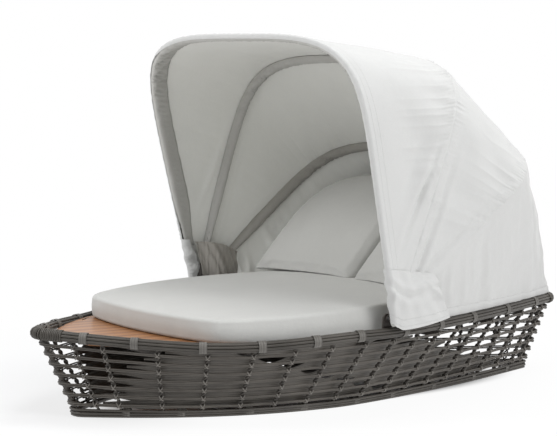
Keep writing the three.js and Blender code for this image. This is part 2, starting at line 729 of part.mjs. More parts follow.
function mattressOutline() {
  const front = mattressHalf(MATTRESS_FRONT_X);
  const back = mattressHalf(MATTRESS_BACK_X);
  const corner = (share) => MATTRESS_CORNER_SHARE * Math.abs(share) ** 12;
  const down = steps(MATTRESS_BAYS - 1).map((i) => lerp(MATTRESS_FRONT_X, MATTRESS_BACK_X, (i + 1) / MATTRESS_BAYS));
  return [
    ...MATTRESS_CROSS_SHARES.map((share) => [
      MATTRESS_FRONT_X - MATTRESS_BULGE * (1 - share ** 2) + front * corner(share),
      share * front * (1 - corner(share)),
    ]),
    ...down.map((x) => [x, -mattressHalf(x)]),
    ...[...MATTRESS_CROSS_SHARES].reverse().map((share) => [
      MATTRESS_BACK_X - back * corner(share),
      share * back * (1 - corner(share)),
    ]),
    ...[...down].reverse().map((x) => [x, mattressHalf(x)]),
  ];
}

const MATTRESS_CENTRE_X = (MATTRESS_FRONT_X + MATTRESS_BACK_X) / 2;
const MATTRESS_HALF_SPAN = (MATTRESS_BACK_X - MATTRESS_FRONT_X) / 2 + MATTRESS_BULGE;

function makeMattress() {
  const outline = mattressOutline();
  // Each row: how far the outline is drawn in, and the height above the mattress's underside
  const levels = [
    [MATTRESS_EDGE, 0],
    [MATTRESS_PINCH, MATTRESS_EDGE * 0.35],
    [MATTRESS_PINCH * 0.3, MATTRESS_SIDE * 0.5],
    [MATTRESS_PINCH, MATTRESS_SIDE - MATTRESS_EDGE * 0.25],
    [MATTRESS_EDGE, MATTRESS_SIDE + MATTRESS_CROWN * 0.3],
    [MATTRESS_HALF_SPAN * 0.12, MATTRESS_SIDE + MATTRESS_CROWN * 0.75],
    [MATTRESS_HALF_SPAN * 0.6, MATTRESS_SIDE + MATTRESS_CROWN],
  ];
  return skin(levels.map(([drawn, height]) => outline.map(([x, y]) => {
    const reach = Math.hypot(x - MATTRESS_CENTRE_X, y);
    const keep = 1 - drawn / MATTRESS_HALF_SPAN;
    const edge = drawn > MATTRESS_EDGE ? keep : 1 - drawn / reach;
    const px = MATTRESS_CENTRE_X + (x - MATTRESS_CENTRE_X) * edge;
    const rise = MATTRESS_RISE_SHARE * (px - MATTRESS_FRONT_X) * Math.min(height / MATTRESS_SIDE, 1);
    return vec(px, y * edge, DECK_HEIGHT + SEAT_GAP + height + rise);
  })));
}

addPiece("mattress", makeMattress(), "cushion");

// Back cushions: each leans back, is rounded at its outer top corner and stands on the mattress
const BACK_FOOT_HEIGHT = DECK_HEIGHT + SEAT_GAP * 2 + MATTRESS_SIDE + MATTRESS_CROWN
  + MATTRESS_RISE_SHARE * (BACK_FOOT_X + CUSHION_THICKNESS - MATTRESS_FRONT_X);

function backPoint(y, up, forward) {
  const wrap = CUSHION_WRAP * (y / CUSHION_HALF_WIDTH) ** 2;
  return vec(
    BACK_FOOT_X + up * Math.sin(BACK_LEAN) - forward * Math.cos(BACK_LEAN) - wrap,
    y,
    BACK_FOOT_HEIGHT + up * Math.cos(BACK_LEAN) + forward * Math.sin(BACK_LEAN),
  );
}

function makeCushion(side) {
  const points = 9;
  const shapeAt = (drawn, forward) => {
    const foot = Math.max(-forward * Math.tan(BACK_LEAN), 0);
    const ring = [];
    const inner = CUSHION_PARTING + drawn;
    const wide = CUSHION_HALF_WIDTH - drawn - inner;
    const tall = CUSHION_HEIGHT - drawn - foot;
    for (const i of steps(points)) {
      const turn = i / (points - 1) * HALF_TURN / 2;
      const y = inner + wide * Math.cos(turn) ** (2 / CUSHION_ROUNDNESS);
      const up = foot + tall * Math.sin(turn) ** (2 / CUSHION_ROUNDNESS);
      ring.push([y, up]);
    }
    ring.push([inner, foot + tall / 2], [inner, foot]);
    ring.push([inner + wide / 3, foot], [inner + wide * 2 / 3, foot]);
    return ring.map(([y, up]) => backPoint(side * y, up, forward));
  };
  const back = -CUSHION_THICKNESS;
  return skin([
    shapeAt(CUSHION_PINCH * 2, back),
    shapeAt(CUSHION_PINCH * 0.6, back * 0.9),
    shapeAt(0, back * 0.55),
    shapeAt(CUSHION_PINCH * 0.4, back * 0.25),
    shapeAt(CUSHION_PINCH * 1.6, back * 0.08),
    shapeAt(CUSHION_HALF_WIDTH * 0.17, 0),
  ]);
}

for (const side of SIDES) addPiece(`back_cushion_${SIDE_NAMES[side]}`, makeCushion(side), "cushion");

// Backrest frame: a bent hoop with slats, feet on the deck and two struts behind
function makeBackrest() {
  const slatBack = -CUSHION_THICKNESS - SEAT_GAP - SLAT_THICKNESS;
  const plane = slatBack - HOOP_RADIUS + SLAT_THICKNESS / 2;
  const flatPoint = (y, up, forward) => backPoint(0, up, forward).setY(y);
  const kneePoint = (side) => flatPoint(side * HOOP_HALF_WIDTH, HOOP_KNEE, plane);
  const footBottom = DECK_HEIGHT + SEAT_GAP;
  const footPoint = (side) => kneePoint(side).setZ(footBottom + FOOT_PLATE_THICKNESS / 2);
  const arch = steps(13).map((i) => {
    const turn = i / 12 * HALF_TURN;
    const y = -Math.sign(Math.cos(turn)) * HOOP_HALF_WIDTH * Math.abs(Math.cos(turn)) ** (2 / HOOP_ROUNDNESS);
    const up = HOOP_KNEE + (HOOP_HEIGHT - HOOP_KNEE) * Math.sin(turn) ** (2 / HOOP_ROUNDNESS);
    return flatPoint(y, up, plane);
  });
  const parts = [rod([footPoint(-1), ...arch, footPoint(1)], HOOP_RADIUS, BOW_SIDES)];
  for (const i of steps(BACK_SLATS)) {
    const up = lerp(HOOP_KNEE, HOOP_HEIGHT, (i + 0.4) / BACK_SLATS);
    const share = (up - HOOP_KNEE) / (HOOP_HEIGHT - HOOP_KNEE);
    const half = HOOP_HALF_WIDTH * (1 - share ** HOOP_ROUNDNESS) ** (1 / HOOP_ROUNDNESS);
    const ring = (y) => [
      flatPoint(y, up - SLAT_WIDTH / 2, slatBack),
      flatPoint(y, up + SLAT_WIDTH / 2, slatBack),
      flatPoint(y, up + SLAT_WIDTH / 2, slatBack + SLAT_THICKNESS),
      flatPoint(y, up - SLAT_WIDTH / 2, slatBack + SLAT_THICKNESS),
    ];
    parts.push(skin([ring(-half), ring(half)]));
  }
  const feet = SIDES.map(footPoint);
  for (const side of SIDES) {
    const slatUp = lerp(HOOP_KNEE, HOOP_HEIGHT, (BACK_SLATS - 1.6) / BACK_SLATS);
    const head = flatPoint(side * STRUT_HALF_WIDTH, slatUp, slatBack + SLAT_THICKNESS / 2);
    const foot = vec(STRUT_FOOT_X, side * STRUT_HALF_WIDTH, footBottom + FOOT_PLATE_THICKNESS / 2);
    parts.push(rod([head, foot], STRUT_RADIUS, RIB_SIDES));
    feet.push(foot);
  }
  for (const foot of feet) {
    const half = FOOT_PLATE / 2;
    const corners = [[-half, -half], [half, -half], [half, half], [-half, half]]
      .map(([x, y]) => [foot.x + x, foot.y + y]);
    parts.push(blockOver(corners, footBottom, footBottom + FOOT_PLATE_THICKNESS));
  }
  return fromSolid(joined(parts));
}

addPiece("backrest_frame", makeBackrest(), "aluminium");

// Bows: bent tubes whose ends are flattened into eyes that stack on the pivot bolt
function makeEye(bow, side) {
  const outline = new THREE.Shape();
  outline.moveTo(EYE_RADIUS, 0);
  outline.lineTo(EYE_RADIUS, EYE_LENGTH);
  outline.lineTo(-EYE_RADIUS, EYE_LENGTH);
  outline.lineTo(-EYE_RADIUS, 0);
  outline.absarc(0, 0, EYE_RADIUS, HALF_TURN, FULL_TURN, false);
  outline.holes.push(new THREE.Path(polygon(BOLT_RADIUS + SEAT_GAP, ROUND_SIDES)));
  const eye = new THREE.ExtrudeGeometry(outline, {
    depth: EYE_THICKNESS, bevelEnabled: false, curveSegments: ROUND_SIDES / 2,
  });
  eye.rotateX(HALF_TURN / 2);
  eye.translate(0, side * eyeCentre(bow) + EYE_THICKNESS / 2, 0);
  return eye;
}

function placeOnPivot(mesh, bow) {
  mesh.position.set(PIVOT_X, 0, PIVOT_HEIGHT);
  mesh.rotation.y = bow.angle;
}

for (const bow of BOWS) {
  const tube = rod(bow.path, BOW_TUBE_RADIUS, BOW_SIDES);
  const eyes = SIDES.map((side) => makeEye(bow, side));
  placeOnPivot(addPiece(bow.name, fromSolid(joined([tube, ...eyes])), "aluminium"), bow);
  const cloth = sleeve(bow.sleevePath, SLEEVE_INNER, SLEEVE_OUTER, BOW_SIDES);
  placeOnPivot(addPiece(`${bow.name}_sleeve`, cloth, "sleeve"), bow);
}

// Canopy cloth between two neighbouring bows: tight over the bows, a shallow valley between them
function makePanel(front, back, hem) {
  const grid = (offset) => {
    const row = (share, shift) => front.line.map((spot, j) => {
      const start = onBow(front.angle, spot);
      const end = onBow(back.angle, back.line[j]);
      const span = end.clone().sub(start);
      const out = directionOnBow(front.angle, front.outwards[j])
        .lerp(directionOnBow(back.angle, back.outwards[j]), share);
      const valley = CLOTH_SAG_SHARE + (j % 2 ? CLOTH_FOLD_SHARE : -CLOTH_FOLD_SHARE);
      const lift = offset - span.length() * valley * Math.sin(share * HALF_TURN);
      return start.addScaledVector(span, share).addScaledVector(out, lift).addScaledVector(span.normalize(), shift);
    });
    const rows = [row(0, hem > 0 ? -hem : SEAT_GAP / 2)];
    if (hem > 0) rows.push(row(0, 0));
    for (const i of steps(CLOTH_BAYS - 1)) rows.push(row((i + 1) / CLOTH_BAYS, 0));
    rows.push(row(1, -SEAT_GAP / 2));
    return rows;
  };
  return clothBetween(grid(CLOTH_OUTER), grid(CLOTH_INNER));
}

const [REAR_BOW, MIDDLE_BOW, FRONT_BOW] = BOWS;
addPiece("canopy_front", makePanel(FRONT_BOW, MIDDLE_BOW, CLOTH_HEM), "canopy");
addPiece("canopy_middle", makePanel(MIDDLE_BOW, REAR_BOW, 0), "canopy");

// Rear cloth: falls from the rear bow to a hem along the rim round the stern
function makeRearPanel() {
  const { line, angle } = REAR_BOW;
  const start = shareOfX(REAR_HEM_START_X);
  const grid = (offset) => steps(CLOTH_BAYS + 2).map((i) => line.map((spot, j) => {
    const share = i / (CLOTH_BAYS + 1);
    const across = 2 * j / BOW_STEPS - 1;
    const top = onBow(angle, spot).addScaledVector(directionOnBow(angle, REAR_BOW.outwards[j]), offset);
    top.x += SEAT_GAP / 2 * Math.cos(angle);
    top.z -= SEAT_GAP / 2 * Math.sin(angle);
    const hem = wallPoint(lerp(1, start, Math.abs(across) ** REAR_HEM_SPREAD), 1, Math.sign(across));
    hem.z += BUNDLE_RADIUS + REAR_HEM_LIFT;
    const out = vec(1 - Math.abs(across), across, 0).normalize();
    hem.addScaledVector(out, offset - CLOTH_INNER);
    const fold = REAR_FOLD_DEPTH * Math.sin(across * REAR_FOLDS * HALF_TURN) * share;
    const belly = (REAR_BELLY + fold) * Math.sin(share * HALF_TURN) * (1 - Math.abs(across) ** 6);
    return top.lerp(hem, share).addScaledVector(out, belly);
  }));
  return clothBetween(grid(CLOTH_OUTER), grid(CLOTH_INNER));
}

addPiece("canopy_rear", makeRearPanel(), "canopy");

// Side flaps close the canopy over the pivot and hang outside the rim
function makeFlap(side) {
  const bows = [FRONT_BOW, MIDDLE_BOW, REAR_BOW];
  const index = side < 0 ? 0 : BOW_STEPS;
  const hangY = BOLT_FACE_Y + BOLT_HEAD_HEIGHT + FLAP_CLEARANCE;
  const corner = (bow, offset) => {
    const out = bow.outwards[index];
    const down = vec(0, side * out.z, -Math.abs(out.y)).normalize();
    return onBow(bow.angle, bow.line[index].clone().addScaledVector(out, offset).addScaledVector(down, SEAT_GAP));
  };
  const column = (i, offset, hem) => {
    const share = i / FLAP_BAYS * (bows.length - 1);
    const k = Math.min(Math.floor(share), bows.length - 2);
    const top = corner(bows[k], offset).lerp(corner(bows[k + 1], offset), share - k);
    const low = vec(lerp(FLAP_FRONT_X, FLAP_BACK_X, i / FLAP_BAYS), 0, PIVOT_HEIGHT);
    low.y = side * (hangY + offset - CLOTH_INNER);
    low.z -= lerp(FLAP_DROP, FLAP_BACK_DROP, (i / FLAP_BAYS) ** 2);
    top.x -= hem;
    low.x -= hem / 2;
    return steps(FLAP_ROWS + 1).map((j) => {
      const fall = j / FLAP_ROWS;
      const point = top.clone().lerp(low, fall);
      point.y = lerp(top.y, low.y, fall ** 2);
      return point;
    });
  };
  const grid = (offset) => [
    column(0, offset, CLOTH_HEM),
    ...steps(FLAP_BAYS + 1).map((i) => column(i, offset, 0)),
  ];
  return clothBetween(grid(CLOTH_OUTER), grid(CLOTH_INNER));
}

// Gathered covers hide the bow feet on the inside
function makeCover(side) {
  const plane = LUG_FACE_Y - LUG_THICKNESS - SEAT_GAP * 2 - NUT_THICKNESS;
  const from = FRONT_BOW.angle - COVER_MARGIN;
  const grid = (inset) => steps(COVER_BAYS + 1).map((i) => {
    const turn = i / COVER_BAYS;
    const angle = lerp(from, COVER_END, turn);
    const reach = lerp(COVER_REACH, COVER_BACK_REACH, turn ** 2);
    const pleat = i % 2 ? COVER_PLEAT : 0;
    const hem = vec(PIVOT_X + lerp(-COVER_HEM, COVER_HEM, turn), 0, PIVOT_HEIGHT - COVER_DROP);
    const crest = vec(PIVOT_X + reach * Math.sin(angle), 0, PIVOT_HEIGHT + reach * Math.cos(angle));
    return steps(COVER_ROWS + 1).map((j) => {
      const rise = j / COVER_ROWS;
      const point = hem.clone().lerp(crest, rise);
      point.y = side * (plane - inset - pleat * rise);
      return point;
    });
  });
  return clothBetween(grid(0), grid(COVER_THICKNESS));
}

for (const side of SIDES) {
  addPiece(`side_flap_${SIDE_NAMES[side]}`, makeFlap(side), "canopy");
  addPiece(`pivot_cover_${SIDE_NAMES[side]}`, makeCover(side), "sleeve");
}

// Pivot bolt, nut and the spacers between the eyes
function ringAbout(outerRadius, start, length, side, sides) {
  const outline = new THREE.Shape(polygon(outerRadius, sides));
  outline.holes.push(new THREE.Path(polygon(BOLT_RADIUS + SEAT_GAP, ROUND_SIDES)));
  const ring = new THREE.ExtrudeGeometry(outline, { depth: length, bevelEnabled: false });
  ring.rotateX(HALF_TURN / 2);
  ring.translate(PIVOT_X, side > 0 ? start + length : -start, PIVOT_HEIGHT);
  return ring;
}

const NUT_START_Y = LUG_FACE_Y - LUG_THICKNESS - SEAT_GAP - NUT_THICKNESS;

function makeBolt(side) {
  const head = BOLT_HEAD_HEIGHT;
  const profile = [
    [0, NUT_START_Y], [BOLT_RADIUS, NUT_START_Y], [BOLT_RADIUS, BOLT_FACE_Y], [BOLT_HEAD_RADIUS, BOLT_FACE_Y],
    [BOLT_HEAD_RADIUS, BOLT_FACE_Y + head * 0.45], [BOLT_HEAD_RADIUS * 0.7, BOLT_FACE_Y + head * 0.85],
    [0, BOLT_FACE_Y + head],
  ].map(([x, y]) => new THREE.Vector2(x, y));
  const bolt = new THREE.LatheGeometry(profile, ROUND_SIDES);
  if (side < 0) bolt.rotateX(HALF_TURN);
  bolt.translate(PIVOT_X, 0, PIVOT_HEIGHT);
  return bolt;
}

for (const side of SIDES) {
  const name = SIDE_NAMES[side];
  addPiece(`pivot_bolt_${name}`, makeBolt(side), "steel");
  addPiece(`pivot_nut_${name}`, ringAbout(NUT_RADIUS, NUT_START_Y, NUT_THICKNESS, side, NUT_SIDES), "steel");
  for (const bow of [REAR_BOW, MIDDLE_BOW]) {
    const start = eyeCentre(bow) + EYE_THICKNESS / 2 + RUNNING_GAP;
    const length = BOW_PITCH - EYE_THICKNESS - 2 * RUNNING_GAP;
    addPiece(`spacer_${name}_${bow.order + 1}`, ringAbout(SPACER_RADIUS, start, length, side, ROUND_SIDES), "nylon");
  }
}

export default daybed;
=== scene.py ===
# %% [markdown]
# # An outdoor daybed with a folding canopy
# The real piece is a boat of woven synthetic wicker round a welded frame. It carries a mattress,
# two back cushions, a teak tray in the prow, and a canopy of cloth on three bows that turn on one
# bolt at each side.

import math

import bmesh
import bpy
import numpy as np
from mathutils import Matrix, Vector


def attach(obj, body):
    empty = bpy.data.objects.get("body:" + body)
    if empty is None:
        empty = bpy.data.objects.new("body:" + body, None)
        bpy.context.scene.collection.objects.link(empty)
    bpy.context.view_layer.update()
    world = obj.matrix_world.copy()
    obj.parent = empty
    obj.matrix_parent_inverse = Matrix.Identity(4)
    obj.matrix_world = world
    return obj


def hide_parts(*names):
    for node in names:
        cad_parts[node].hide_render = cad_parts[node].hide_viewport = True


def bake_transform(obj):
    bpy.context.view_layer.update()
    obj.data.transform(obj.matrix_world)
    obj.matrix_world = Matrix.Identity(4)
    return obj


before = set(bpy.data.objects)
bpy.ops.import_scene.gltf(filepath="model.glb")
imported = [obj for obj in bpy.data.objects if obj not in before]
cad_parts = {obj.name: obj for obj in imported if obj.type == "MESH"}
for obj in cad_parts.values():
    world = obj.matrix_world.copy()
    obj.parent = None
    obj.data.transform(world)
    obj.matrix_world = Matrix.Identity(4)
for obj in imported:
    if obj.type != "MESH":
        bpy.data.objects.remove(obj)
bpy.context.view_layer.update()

# %% [markdown]
# The camera stands where the photographer stood, found by matching the hull and the three bows.
# A long lens far away keeps the perspective gentle.

# %% The camera
CAMERA_PLACE, CAMERA_YAW, CAMERA_PITCH = (-4.443, -6.396, 1.289), 0.591, 0.082
LENS_PIXELS, IMAGE_WIDTH, SENSOR = 2126, 557, 36.0
AXIS_ABOVE_CENTRE = 2.8
TURN = 2 * math.pi
SIDES = ((-1, "right"), (1, "left"))


def new_object(name, data):
    made = bpy.data.objects.new(name, data)
    bpy.context.scene.collection.objects.link(made)
    return made


camera = new_object("camera", bpy.data.cameras.new("camera"))
camera.location = CAMERA_PLACE
camera.rotation_euler = (math.pi / 2 - CAMERA_PITCH, 0, -CAMERA_YAW)
camera.data.lens = LENS_PIXELS / IMAGE_WIDTH * SENSOR
camera.data.shift_y = -AXIS_ABOVE_CENTRE / IMAGE_WIDTH
bpy.context.scene.camera = camera
print("lens", round(camera.data.lens, 1), "mm")

# %% [markdown]
# Shader maths reads best as plain expressions. A `Wire` wraps one output socket of a shader node,
# and `Finish` starts a material and makes its nodes, so that `1 - grain * 0.2` adds Math nodes.


# %% A small language for finishes
class Wire:
    def __init__(self, tree, socket):
        self.tree, self.socket = tree, socket

    def maths(self, operation, *values):
        node = self.tree.nodes.new("ShaderNodeMath")
        node.operation = operation
        for slot, value in zip(node.inputs, values):
            plug(self.tree, slot, value)
        return Wire(self.tree, node.outputs[0])

    def __add__(self, other):
        return self.maths("ADD", self, other)

    def __sub__(self, other):
        return self.maths("SUBTRACT", self, other)

    def __mul__(self, other):
        return self.maths("MULTIPLY", self, other)

    def __truediv__(self, other):
        return self.maths("DIVIDE", self, other)

    def __rsub__(self, other):
        return self.maths("SUBTRACT", other, self)

    def __pow__(self, other):
        return self.maths("POWER", self, other)

    __radd__, __rmul__ = __add__, __mul__

    def sine(self):
        return self.maths("SINE", self)

    def between(self, low, high):
        """0 below low, 1 above high, and a smooth step from one to the other."""
        node = self.tree.nodes.new("ShaderNodeMapRange")
        node.interpolation_type = "SMOOTHSTEP"
        for slot, value in zip(node.inputs, (self, low, high, 0.0, 1.0)):
            plug(self.tree, slot, value)
        return Wire(self.tree, node.outputs[0])


def plug(tree, slot, value):
    if isinstance(value, Wire):
        tree.links.new(value.socket, slot)
    elif hasattr(value, "__len__") and len(slot.default_value) == 4 and len(value) == 3:
        slot.default_value = (*value, 1)
    else:
        slot.default_value = value


class Finish:
    def __init__(self, name, **constants):
        self.material = bpy.data.materials.new(name)
        self.material.use_nodes = True
        self.tree = self.material.node_tree
        self.shader = self.tree.nodes["Principled BSDF"]
        for socket, value in constants.items():
            plug(self.tree, self.shader.inputs[socket.replace("_", " ")], value)

    def node(self, kind, output=0, **values):
        made = self.tree.nodes.new("ShaderNode" + kind)
        for socket, value in values.items():
            plug(self.tree, made.inputs[socket], value)
        return Wire(self.tree, made.outputs[output])

    def place(self, *scale):
        """Object coordinates in metres, scaled."""
        return self.node("Mapping", Vector=self.node("TexCoord", output=3), Scale=scale or (1, 1, 1))

    def uv(self, *scale):
        return self.node("Mapping", Vector=self.node("TexCoord", output=2), Scale=scale or (1, 1, 1))

    def parts(self, vector):
        node = self.tree.nodes.new("ShaderNodeSeparateXYZ")
        plug(self.tree, node.inputs[0], vector)
        return [Wire(self.tree, out) for out in node.outputs]

    def noise(self, vector, scale, detail, roughness=0.5):
        return self.node("TexNoise", Vector=vector, Scale=scale, Detail=detail, Roughness=roughness)

    def colours(self, mask, *stops):
        """A ramp from (place, colour) pairs, read at the mask."""
        node = self.tree.nodes.new("ShaderNodeValToRGB")
        elements = node.color_ramp.elements
        while len(elements) < len(stops):
            elements.new(0.5)
        for element, (at, colour) in zip(elements, stops):
            element.position, element.color = at, (*colour, 1)
        plug(self.tree, node.inputs[0], mask)
        return Wire(self.tree, node.outputs[0])

    def mix(self, mask, first, second):
        node = self.tree.nodes.new("ShaderNodeMix")
        node.data_type = "RGBA"
        for index, value in ((0, mask), (6, first), (7, second)):
            plug(self.tree, node.inputs[index], value)
        return Wire(self.tree, node.outputs[2])

    def wear(self, colour, roughness, height, depth, strength):
        """Feeds what varies over the surface to the shader."""
        bump = self.node("Bump", Height=height, Distance=depth, Strength=strength)
        for socket, value in (("Base Color", colour), ("Roughness", roughness), ("Normal", bump)):
            plug(self.tree, self.shader.inputs[socket], value)
        return self.material


# %% [markdown]
# Synthetic wicker is extruded with fine lengthways grooves, and its dark brown varies from strand
# to strand. The strands carry a map that runs along their length, so the grooves follow them.


# %% Wicker
def wicker(name, dark, light, across, along):
    finish = Finish(name, Specular_IOR_Level=0.45)
    _, turn, _ = finish.parts(finish.uv())
    grooves = (turn * (TURN * across)).sine() * 0.5 + 0.5
    tone = finish.noise(finish.place(), 9, 2)
    streak = finish.noise(finish.uv(along, across * 1.5, 1), 1, 3, 0.6)
    colour = finish.colours(grooves * 0.25 + tone * 0.5 + streak * 0.5, (0.25, dark), (0.85, light))
    return finish.wear(colour, streak * 0.25 + 0.36, grooves * 0.6 + streak * 0.4, 0.0006, 0.8)


RIM_WICKER = wicker("rim wicker", (0.016, 0.0135, 0.011), (0.088, 0.079, 0.067), 5, 60)
ROW_WICKER = wicker("row wicker", (0.026, 0.0215, 0.0175), (0.13, 0.117, 0.101), 4, 80)
KNOT_WICKER = wicker("knot wicker", (0.06, 0.053, 0.046), (0.23, 0.212, 0.19), 3, 60)
BIND_WICKER = wicker("binding wicker", (0.055, 0.05, 0.044), (0.16, 0.15, 0.136), 3, 60)
STAKE_WICKER = wicker("stake wicker", (0.01, 0.008, 0.0065), (0.075, 0.067, 0.057), 2, 50)
BAND_WICKER = wicker("band wicker", (0.03, 0.0255, 0.021), (0.15, 0.137, 0.12), 6, 14)


# %% [markdown]
# Outdoor cloth is a plain weave with a little slub. At this distance the threads blur into a soft
# mottle, so the weave is a fine bump and the slub a faint change of tone. Cloth also has a sheen
# at grazing angles, which the shader gives with one constant. Each row of stitches is a shallow
# groove with a thread in it, at a distance from the sheet's edge.


# %% Cloth
THREADS_PER_METRE = 620
STITCH = 0.006


def cloth(name, shade, light, stitches=(), stain=0.5, slack=2.6):
    finish = Finish(name, Sheen_Weight=0.25, Sheen_Roughness=0.5, Specular_IOR_Level=0.2)
    spot = finish.place()
    x, y, z = finish.parts(spot)
    warp = ((x + y * 0.31) * (TURN * THREADS_PER_METRE)).sine()
    weft = ((z + y * 0.77) * (TURN * THREADS_PER_METRE)).sine()
    slub = finish.noise(finish.place(1, 1, 3.5), 160, 3, 0.65)
    cloud = finish.noise(spot, 7, 4, 0.55)
    crumpled = finish.noise(spot, 38, 4, 0.55)
    drift = finish.noise(finish.place(1, 1, 0.6), 15, 3, 0.45)
    mask = slub * 0.45 + cloud * stain + 0.5 - stain / 2
    colour = finish.colours(mask, (0.3, shade), (0.8, light))
    height = warp * 0.06 + weft * 0.06 + slub * 0.35 + crumpled * 1.5 + drift * slack
    for line in stitches:
        run, over, _ = finish.parts(finish.uv())
        offset = over - line
        seam = 1 - offset.maths("ABSOLUTE", offset).between(0.0008, 0.0035)
        thread = (run * (TURN / STITCH)).sine() * 0.5 + 0.5
        height = height - seam * 1.6 + seam * thread * 1.2
        # The groove is also painted a quarter of the way to the darker tone: painted shade in the groove.
        colour = finish.mix(seam * 0.25, colour, shade)
    return finish.wear(colour, cloud * 0.1 + 0.82, height, 0.0012, 0.6)


CANOPY_TONES = (0.535, 0.535, 0.527), (0.62, 0.62, 0.611)
HEM_BAND = 0.045
CANOPY_OUTSIDE = cloth("canopy outside", *CANOPY_TONES, stain=0.3)
CANOPY_HEMMED = cloth("canopy hemmed", *CANOPY_TONES, (0.011, 0.034), 0.3)
CANOPY_BACK = cloth("canopy back", *CANOPY_TONES, (HEM_BAND,), 0.3)
# Painted light: the inside is the same cloth as the outside, painted lighter to lift the shade under the canopy,
# and the back panel's inside lighter still.
CANOPY_INSIDE_PAINTED_LIGHT = cloth("canopy inside painted light", (0.75, 0.75, 0.715), (0.84, 0.84, 0.803), stain=0.35)
BACK_INSIDE_PAINTED_LIGHT = cloth("canopy back inside painted light", (0.83, 0.83, 0.79), (0.92, 0.92, 0.88), stain=0.35)
# One taupe cloth in two copies: the front and middle sleeves' copy is painted lighter, as painted light, and the
# rear sleeve's darker, as painted shade.
SLEEVE_PAINTED_LIGHT = cloth("sleeve painted light", (0.385, 0.378, 0.357), (0.505, 0.498, 0.474))
REAR_SLEEVE_PAINTED_SHADE = cloth("rear sleeve painted shade", (0.295, 0.282, 0.258), (0.395, 0.381, 0.353))
COVER_CLOTH = cloth("cover cloth", (0.245, 0.228, 0.204), (0.345, 0.325, 0.296))
MATTRESS_CLOTH = cloth("mattress cloth", (0.515, 0.513, 0.494), (0.61, 0.608, 0.588), stain=0.3, slack=0.8)
# The cushion cloth is a little darker than the mattress cloth, partly its own tone and partly painted shade from
# the canopy above it.
CUSHION_PAINTED_SHADE = cloth("cushion cloth painted shade", (0.455, 0.453, 0.435), (0.53, 0.528, 0.508), stain=0.3, slack=0.8)


# %% [markdown]
# Oiled teak shows long wavy grain with darker pores. The frame is powder coated, which leaves a
# fine orange-peel skin; the bolts are brushed steel and the glides are moulded nylon.


# %% Teak, coated metal, steel and nylon
def teak():
    finish = Finish("oiled teak", Specular_IOR_Level=0.5, Coat_Weight=0.25, Coat_Roughness=0.25)
    warp = finish.noise(finish.place(1.2, 4, 4), 1.5, 3, 0.6)
    x, y, _ = finish.parts(finish.place())
    rings = ((y * 46 + x * 4 + warp * 5) * 2).sine() * 0.5 + 0.5
    pores = finish.noise(finish.place(14, 420, 420), 1, 2, 0.6)
    stops = (0.1, (0.18, 0.066, 0.018)), (0.55, (0.3, 0.125, 0.038)), (0.95, (0.39, 0.18, 0.066))
    colour = finish.colours(rings * 0.55 + pores * 0.45, *stops)
    return finish.wear(colour, pores * 0.2 + 0.4, pores * 0.6 + rings * 0.2, 0.0005, 0.5)


def coated(name, dark, light, roughness, grain):
    finish = Finish(name, Specular_IOR_Level=0.5)
    peel = finish.noise(finish.place(), grain, 2, 0.5)
    cloud = finish.noise(finish.place(), 12, 3, 0.5)
    colour = finish.colours(cloud, (0.3, dark), (0.75, light))
    return finish.wear(colour, peel * 0.15 + roughness, peel, 0.0003, 0.4)


def steel():
    finish = Finish("brushed steel", Metallic=1.0)
    brush = finish.noise(finish.place(900, 30, 900), 1, 2, 0.5)
    colour = finish.colours(brush, (0.3, (0.5, 0.5, 0.49)), (0.7, (0.66, 0.66, 0.65)))
    return finish.wear(colour, brush * 0.2 + 0.22, brush, 0.0002, 0.3)


def paint(piece, *materials):
    piece.data.materials.clear()
    for material in materials:
        piece.data.materials.append(material)


NODE_FINISHES = {
    ("prow_tray",): teak(),
    ("hull_frame", "backrest_frame", "rear_bow", "middle_bow", "front_bow"):
        coated("frame powder coat", (0.045, 0.038, 0.033), (0.07, 0.06, 0.052), 0.42, 900),
    ("deck_board",): coated("deck board", (0.085, 0.075, 0.066), (0.13, 0.116, 0.104), 0.55, 300),
    ("spacer", "glide"): coated("moulded nylon", (0.015, 0.015, 0.015), (0.028, 0.028, 0.028), 0.45, 600),
    ("pivot_bolt", "pivot_nut"): steel(),
    ("rim_strand", "base_strand", "weave_row"): RIM_WICKER,
}
for name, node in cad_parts.items():
    for starts, material in NODE_FINISHES.items():
        if name.startswith(starts) and not name.endswith("sleeve"):
            paint(node, material)
print("materials:", len(bpy.data.materials))

# %% [markdown]
# The hull's shape is needed again here, because strands and bands run along it. Both edges of the
# wall are the same kind of curve: widest forward of the middle, fuller towards the prow, nearly
# straight towards the stern. The rim also dips over the foredeck and rises again at the prow.

# %% The shape of the hull
RIM_LENGTH, RIM_WIDTH = 2.2634, 1.26
BASE_LENGTH, BASE_WIDTH, BASE_SHIFT, BASE_HEIGHT = 1.99, 0.706, 0.005, 0.015
TIP_WIDTH = 0.034
WIDEST_SHARE = 0.426
PROW_FULLNESS, STERN_FULLNESS = 2.28, 1.36
RIM_HEIGHT, FOREDECK_DIP, PROW_SHEER, STERN_SHEER = 0.293, 0.041, 0.047, -0.022
DIP_START, DIP_END = -0.2, -0.8
RIB_BAYS = 17
POINTS_PER_BAY = 5
ROWS = 7
ROW_OFFSET = 0.0083


def smooth_step(value, low, high):
    share = np.clip((value - low) / (high - low), 0, 1)
    return share * share * (3 - 2 * share)


def reach(share):
    ahead, behind = (WIDEST_SHARE - share) / WIDEST_SHARE, (share - WIDEST_SHARE) / (1 - WIDEST_SHARE)
    return np.where(share < WIDEST_SHARE, ahead, behind)


def half_width(share, width):
    fullness = np.where(share < WIDEST_SHARE, PROW_FULLNESS, STERN_FULLNESS)
    return TIP_WIDTH / 2 + (width - TIP_WIDTH) / 2 * (1 - reach(share) ** fullness)


def rim_height(share):
    x = (share - 0.5) * RIM_LENGTH
    sheer = np.where(share < WIDEST_SHARE, PROW_SHEER, STERN_SHEER)
    dip = FOREDECK_DIP * (1 - smooth_step(x, DIP_END, DIP_START))
    return RIM_HEIGHT - dip + sheer * reach(share) ** 2


